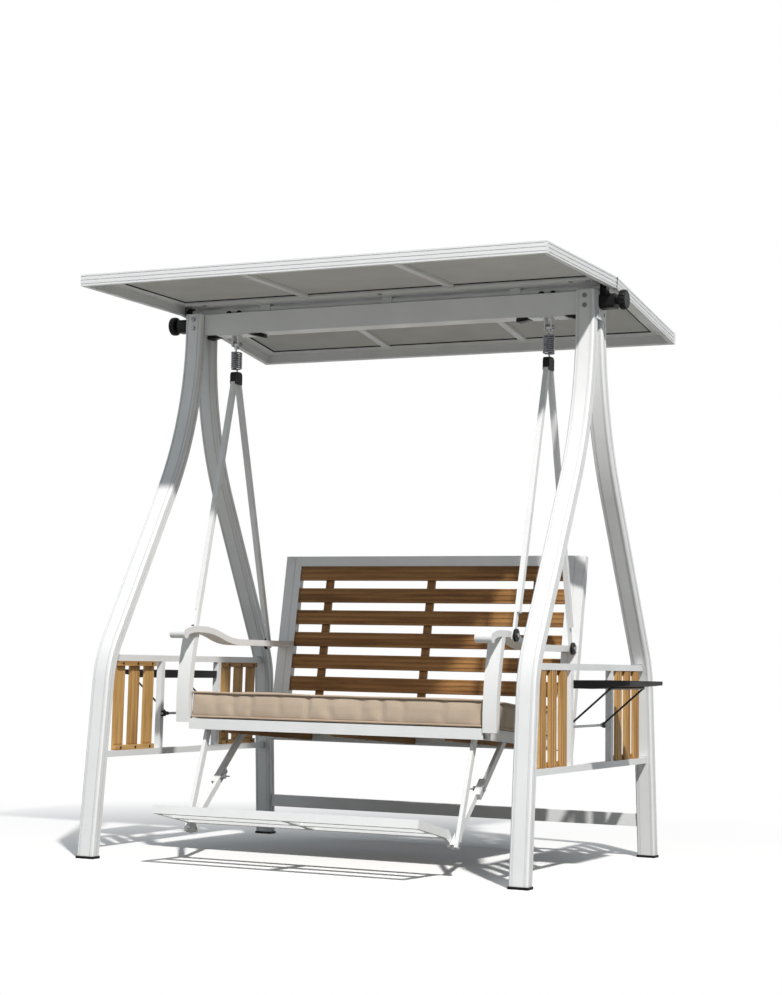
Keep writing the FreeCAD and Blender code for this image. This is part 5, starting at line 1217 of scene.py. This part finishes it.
@dataclass
class Footrest:
    """Folding platform under the seat."""

    def dress(self) -> None:
        """Give the footrest's nodes their finishes."""
        dress(WHITE_COAT, "footrest_rails", "footrest_sides")


@dataclass
class SideTables:
    """Folding trays and their stays."""

    def dress(self) -> None:
        """Give the tables' nodes their finishes."""
        dress(BLACK_PLASTIC, "table_right", "table_left")
        dress(BLACK_COAT, "table_stay_right", "table_stay_left")


# Stage.


@dataclass(frozen=True)
class Lamp:
    """Soft square lamp that looks at the object, placed from its heart."""

    name: str
    place: tuple[float, float, float]
    size: float
    power: float
    colour: Colour

    def hang(self, heart: Vector) -> None:
        """Hang the lamp.

        Args:
            heart: What it looks at.
        """
        data = bpy.data.lights.new(self.name, "AREA")
        data.size = self.size
        data.energy = self.power
        data.color = self.colour
        lamp = bpy.data.objects.new(self.name, data)
        lamp.location = heart + Vector(self.place)
        lamp.rotation_euler = (-Vector(self.place)).to_track_quat("-Z", "Y").to_euler()
        bpy.context.scene.collection.objects.link(lamp)


KEY_LAMP = Lamp("key", (7.9, -9.3, 13.6), 0.6, 4100.0, (1.0, 0.98, 0.94))
FILL_LAMP = Lamp("fill", (-5.0, -4.0, 2.3), 4.0, 40.0, (0.9, 0.95, 1.0))


@dataclass
class Stage:
    """Pale floor, white surroundings, soft lamps and the camera."""

    heart: tuple[float, float, float] = (0.0, 0.0, 0.7)
    floor_half: float = 14.0
    floor_seen: Colour = (0.93, 0.93, 0.93)
    floor_bounce: Colour = (0.26, 0.26, 0.24)
    shadow_start: float = 0.6
    shadow_reach: float = 2.6
    sky: Colour = (0.79, 0.90, 1.0)
    sky_strength: float = 0.26
    image: tuple[int, int] = (782, 995)
    focal_pixels: float = 2048.6
    principal: tuple[float, float] = (360.0, 625.0)
    camera_place: tuple[float, float, float] = (2.8416, -6.0565, 0.6425)
    yaw: float = math.radians(25.735)
    pitch: float = math.radians(0.983)
    roll: float = math.radians(1.186)
    sensor: float = 36.0

    def floor(self) -> None:
        """Lay the floor, which keeps the shadow near the object and fades to white."""
        work = bmesh.new()
        bmesh.ops.create_grid(work, x_segments=1, y_segments=1, size=self.floor_half)
        mesh = bpy.data.meshes.new("floor")
        work.to_mesh(mesh)
        work.free()
        material = bpy.data.materials.new("pale_floor")
        material.use_nodes = True
        net = Net(material.node_tree)
        nodes = material.node_tree.nodes
        nodes.remove(nodes["Principled BSDF"])
        away = net.add("ShaderNodeVectorMath", {0: net.object_place()}, operation="LENGTH").outputs["Value"]
        fade = net.span(away, 0.0, 1.0, self.shadow_start, self.shadow_reach)
        glow = net.add("ShaderNodeEmission", {"Color": WHITE})
        seen = net.add("ShaderNodeLightPath").outputs["Is Camera Ray"]
        matte = net.add("ShaderNodeBsdfDiffuse", {"Color": net.mix(seen, self.floor_bounce, self.floor_seen)})
        share = net.sum("MULTIPLY", fade, net.straight_look())
        blend = net.add("ShaderNodeMixShader", {0: share, 1: matte.outputs[0], 2: glow.outputs[0]})
        net.feed(nodes["Material Output"].inputs["Surface"], blend.outputs[0])
        mesh.materials.append(material)
        new_object("floor", mesh)

    def world(self) -> None:
        """Surround the object with white for the eye and a cool even light for the rest."""
        world = bpy.data.worlds.new("surroundings")
        bpy.context.scene.world = world
        world.use_nodes = True
        net = Net(world.node_tree)
        light = world.node_tree.nodes["Background"]
        net.feed(light.inputs["Color"], self.sky)
        light.inputs["Strength"].default_value = self.sky_strength
        white = net.add("ShaderNodeBackground", {"Color": WHITE, "Strength": 1.0})
        blend = net.add("ShaderNodeMixShader", {0: net.straight_look(), 1: light.outputs[0],
                                                2: white.outputs[0]})
        net.feed(world.node_tree.nodes["World Output"].inputs["Surface"], blend.outputs[0])

    def camera(self) -> None:
        """Set the camera where the picture was taken from."""
        ahead = Vector((-math.sin(self.yaw) * math.cos(self.pitch), math.cos(self.yaw) * math.cos(self.pitch),
                        math.sin(self.pitch)))
        right = Vector((math.cos(self.yaw), math.sin(self.yaw), 0.0))
        up = right.cross(ahead)
        across = right * math.cos(self.roll) + up * math.sin(self.roll)
        above = up * math.cos(self.roll) - right * math.sin(self.roll)
        data = bpy.data.cameras.new("camera")
        longest = max(self.image)
        data.sensor_width = self.sensor
        data.lens = self.focal_pixels / longest * self.sensor
        data.shift_x = (self.image[0] / 2 - self.principal[0]) / longest
        data.shift_y = (self.principal[1] - self.image[1] / 2) / longest
        camera = bpy.data.objects.new("camera", data)
        turn = Matrix((across, above, -ahead)).transposed().to_4x4()
        camera.matrix_world = Matrix.Translation(self.camera_place) @ turn
        bpy.context.scene.collection.objects.link(camera)
        bpy.context.scene.camera = camera

    def build(self) -> None:
        """Set up the floor, the light and the camera."""
        self.floor()
        self.world()
        for lamp in (KEY_LAMP, FILL_LAMP):
            lamp.hang(Vector(self.heart))
        self.camera()
        bpy.context.scene.view_settings.view_transform = "Standard"


def main() -> None:
    """Dress the frame, add the soft pieces and the small hardware, and set the stage."""
    logging.basicConfig(level=logging.INFO, format="%(name)s: %(message)s")
    screws = ScrewTree()
    stand, canopy, bench = Stand(screws), Canopy(screws), Bench(screws)
    for assembly in (stand, canopy, Hangers(), bench, Footrest(), SideTables()):
        assembly.dress()
    for assembly in (stand, canopy, bench, SeatCushion(), Stage()):
        assembly.build()


if __name__ == "__main__":
    main()
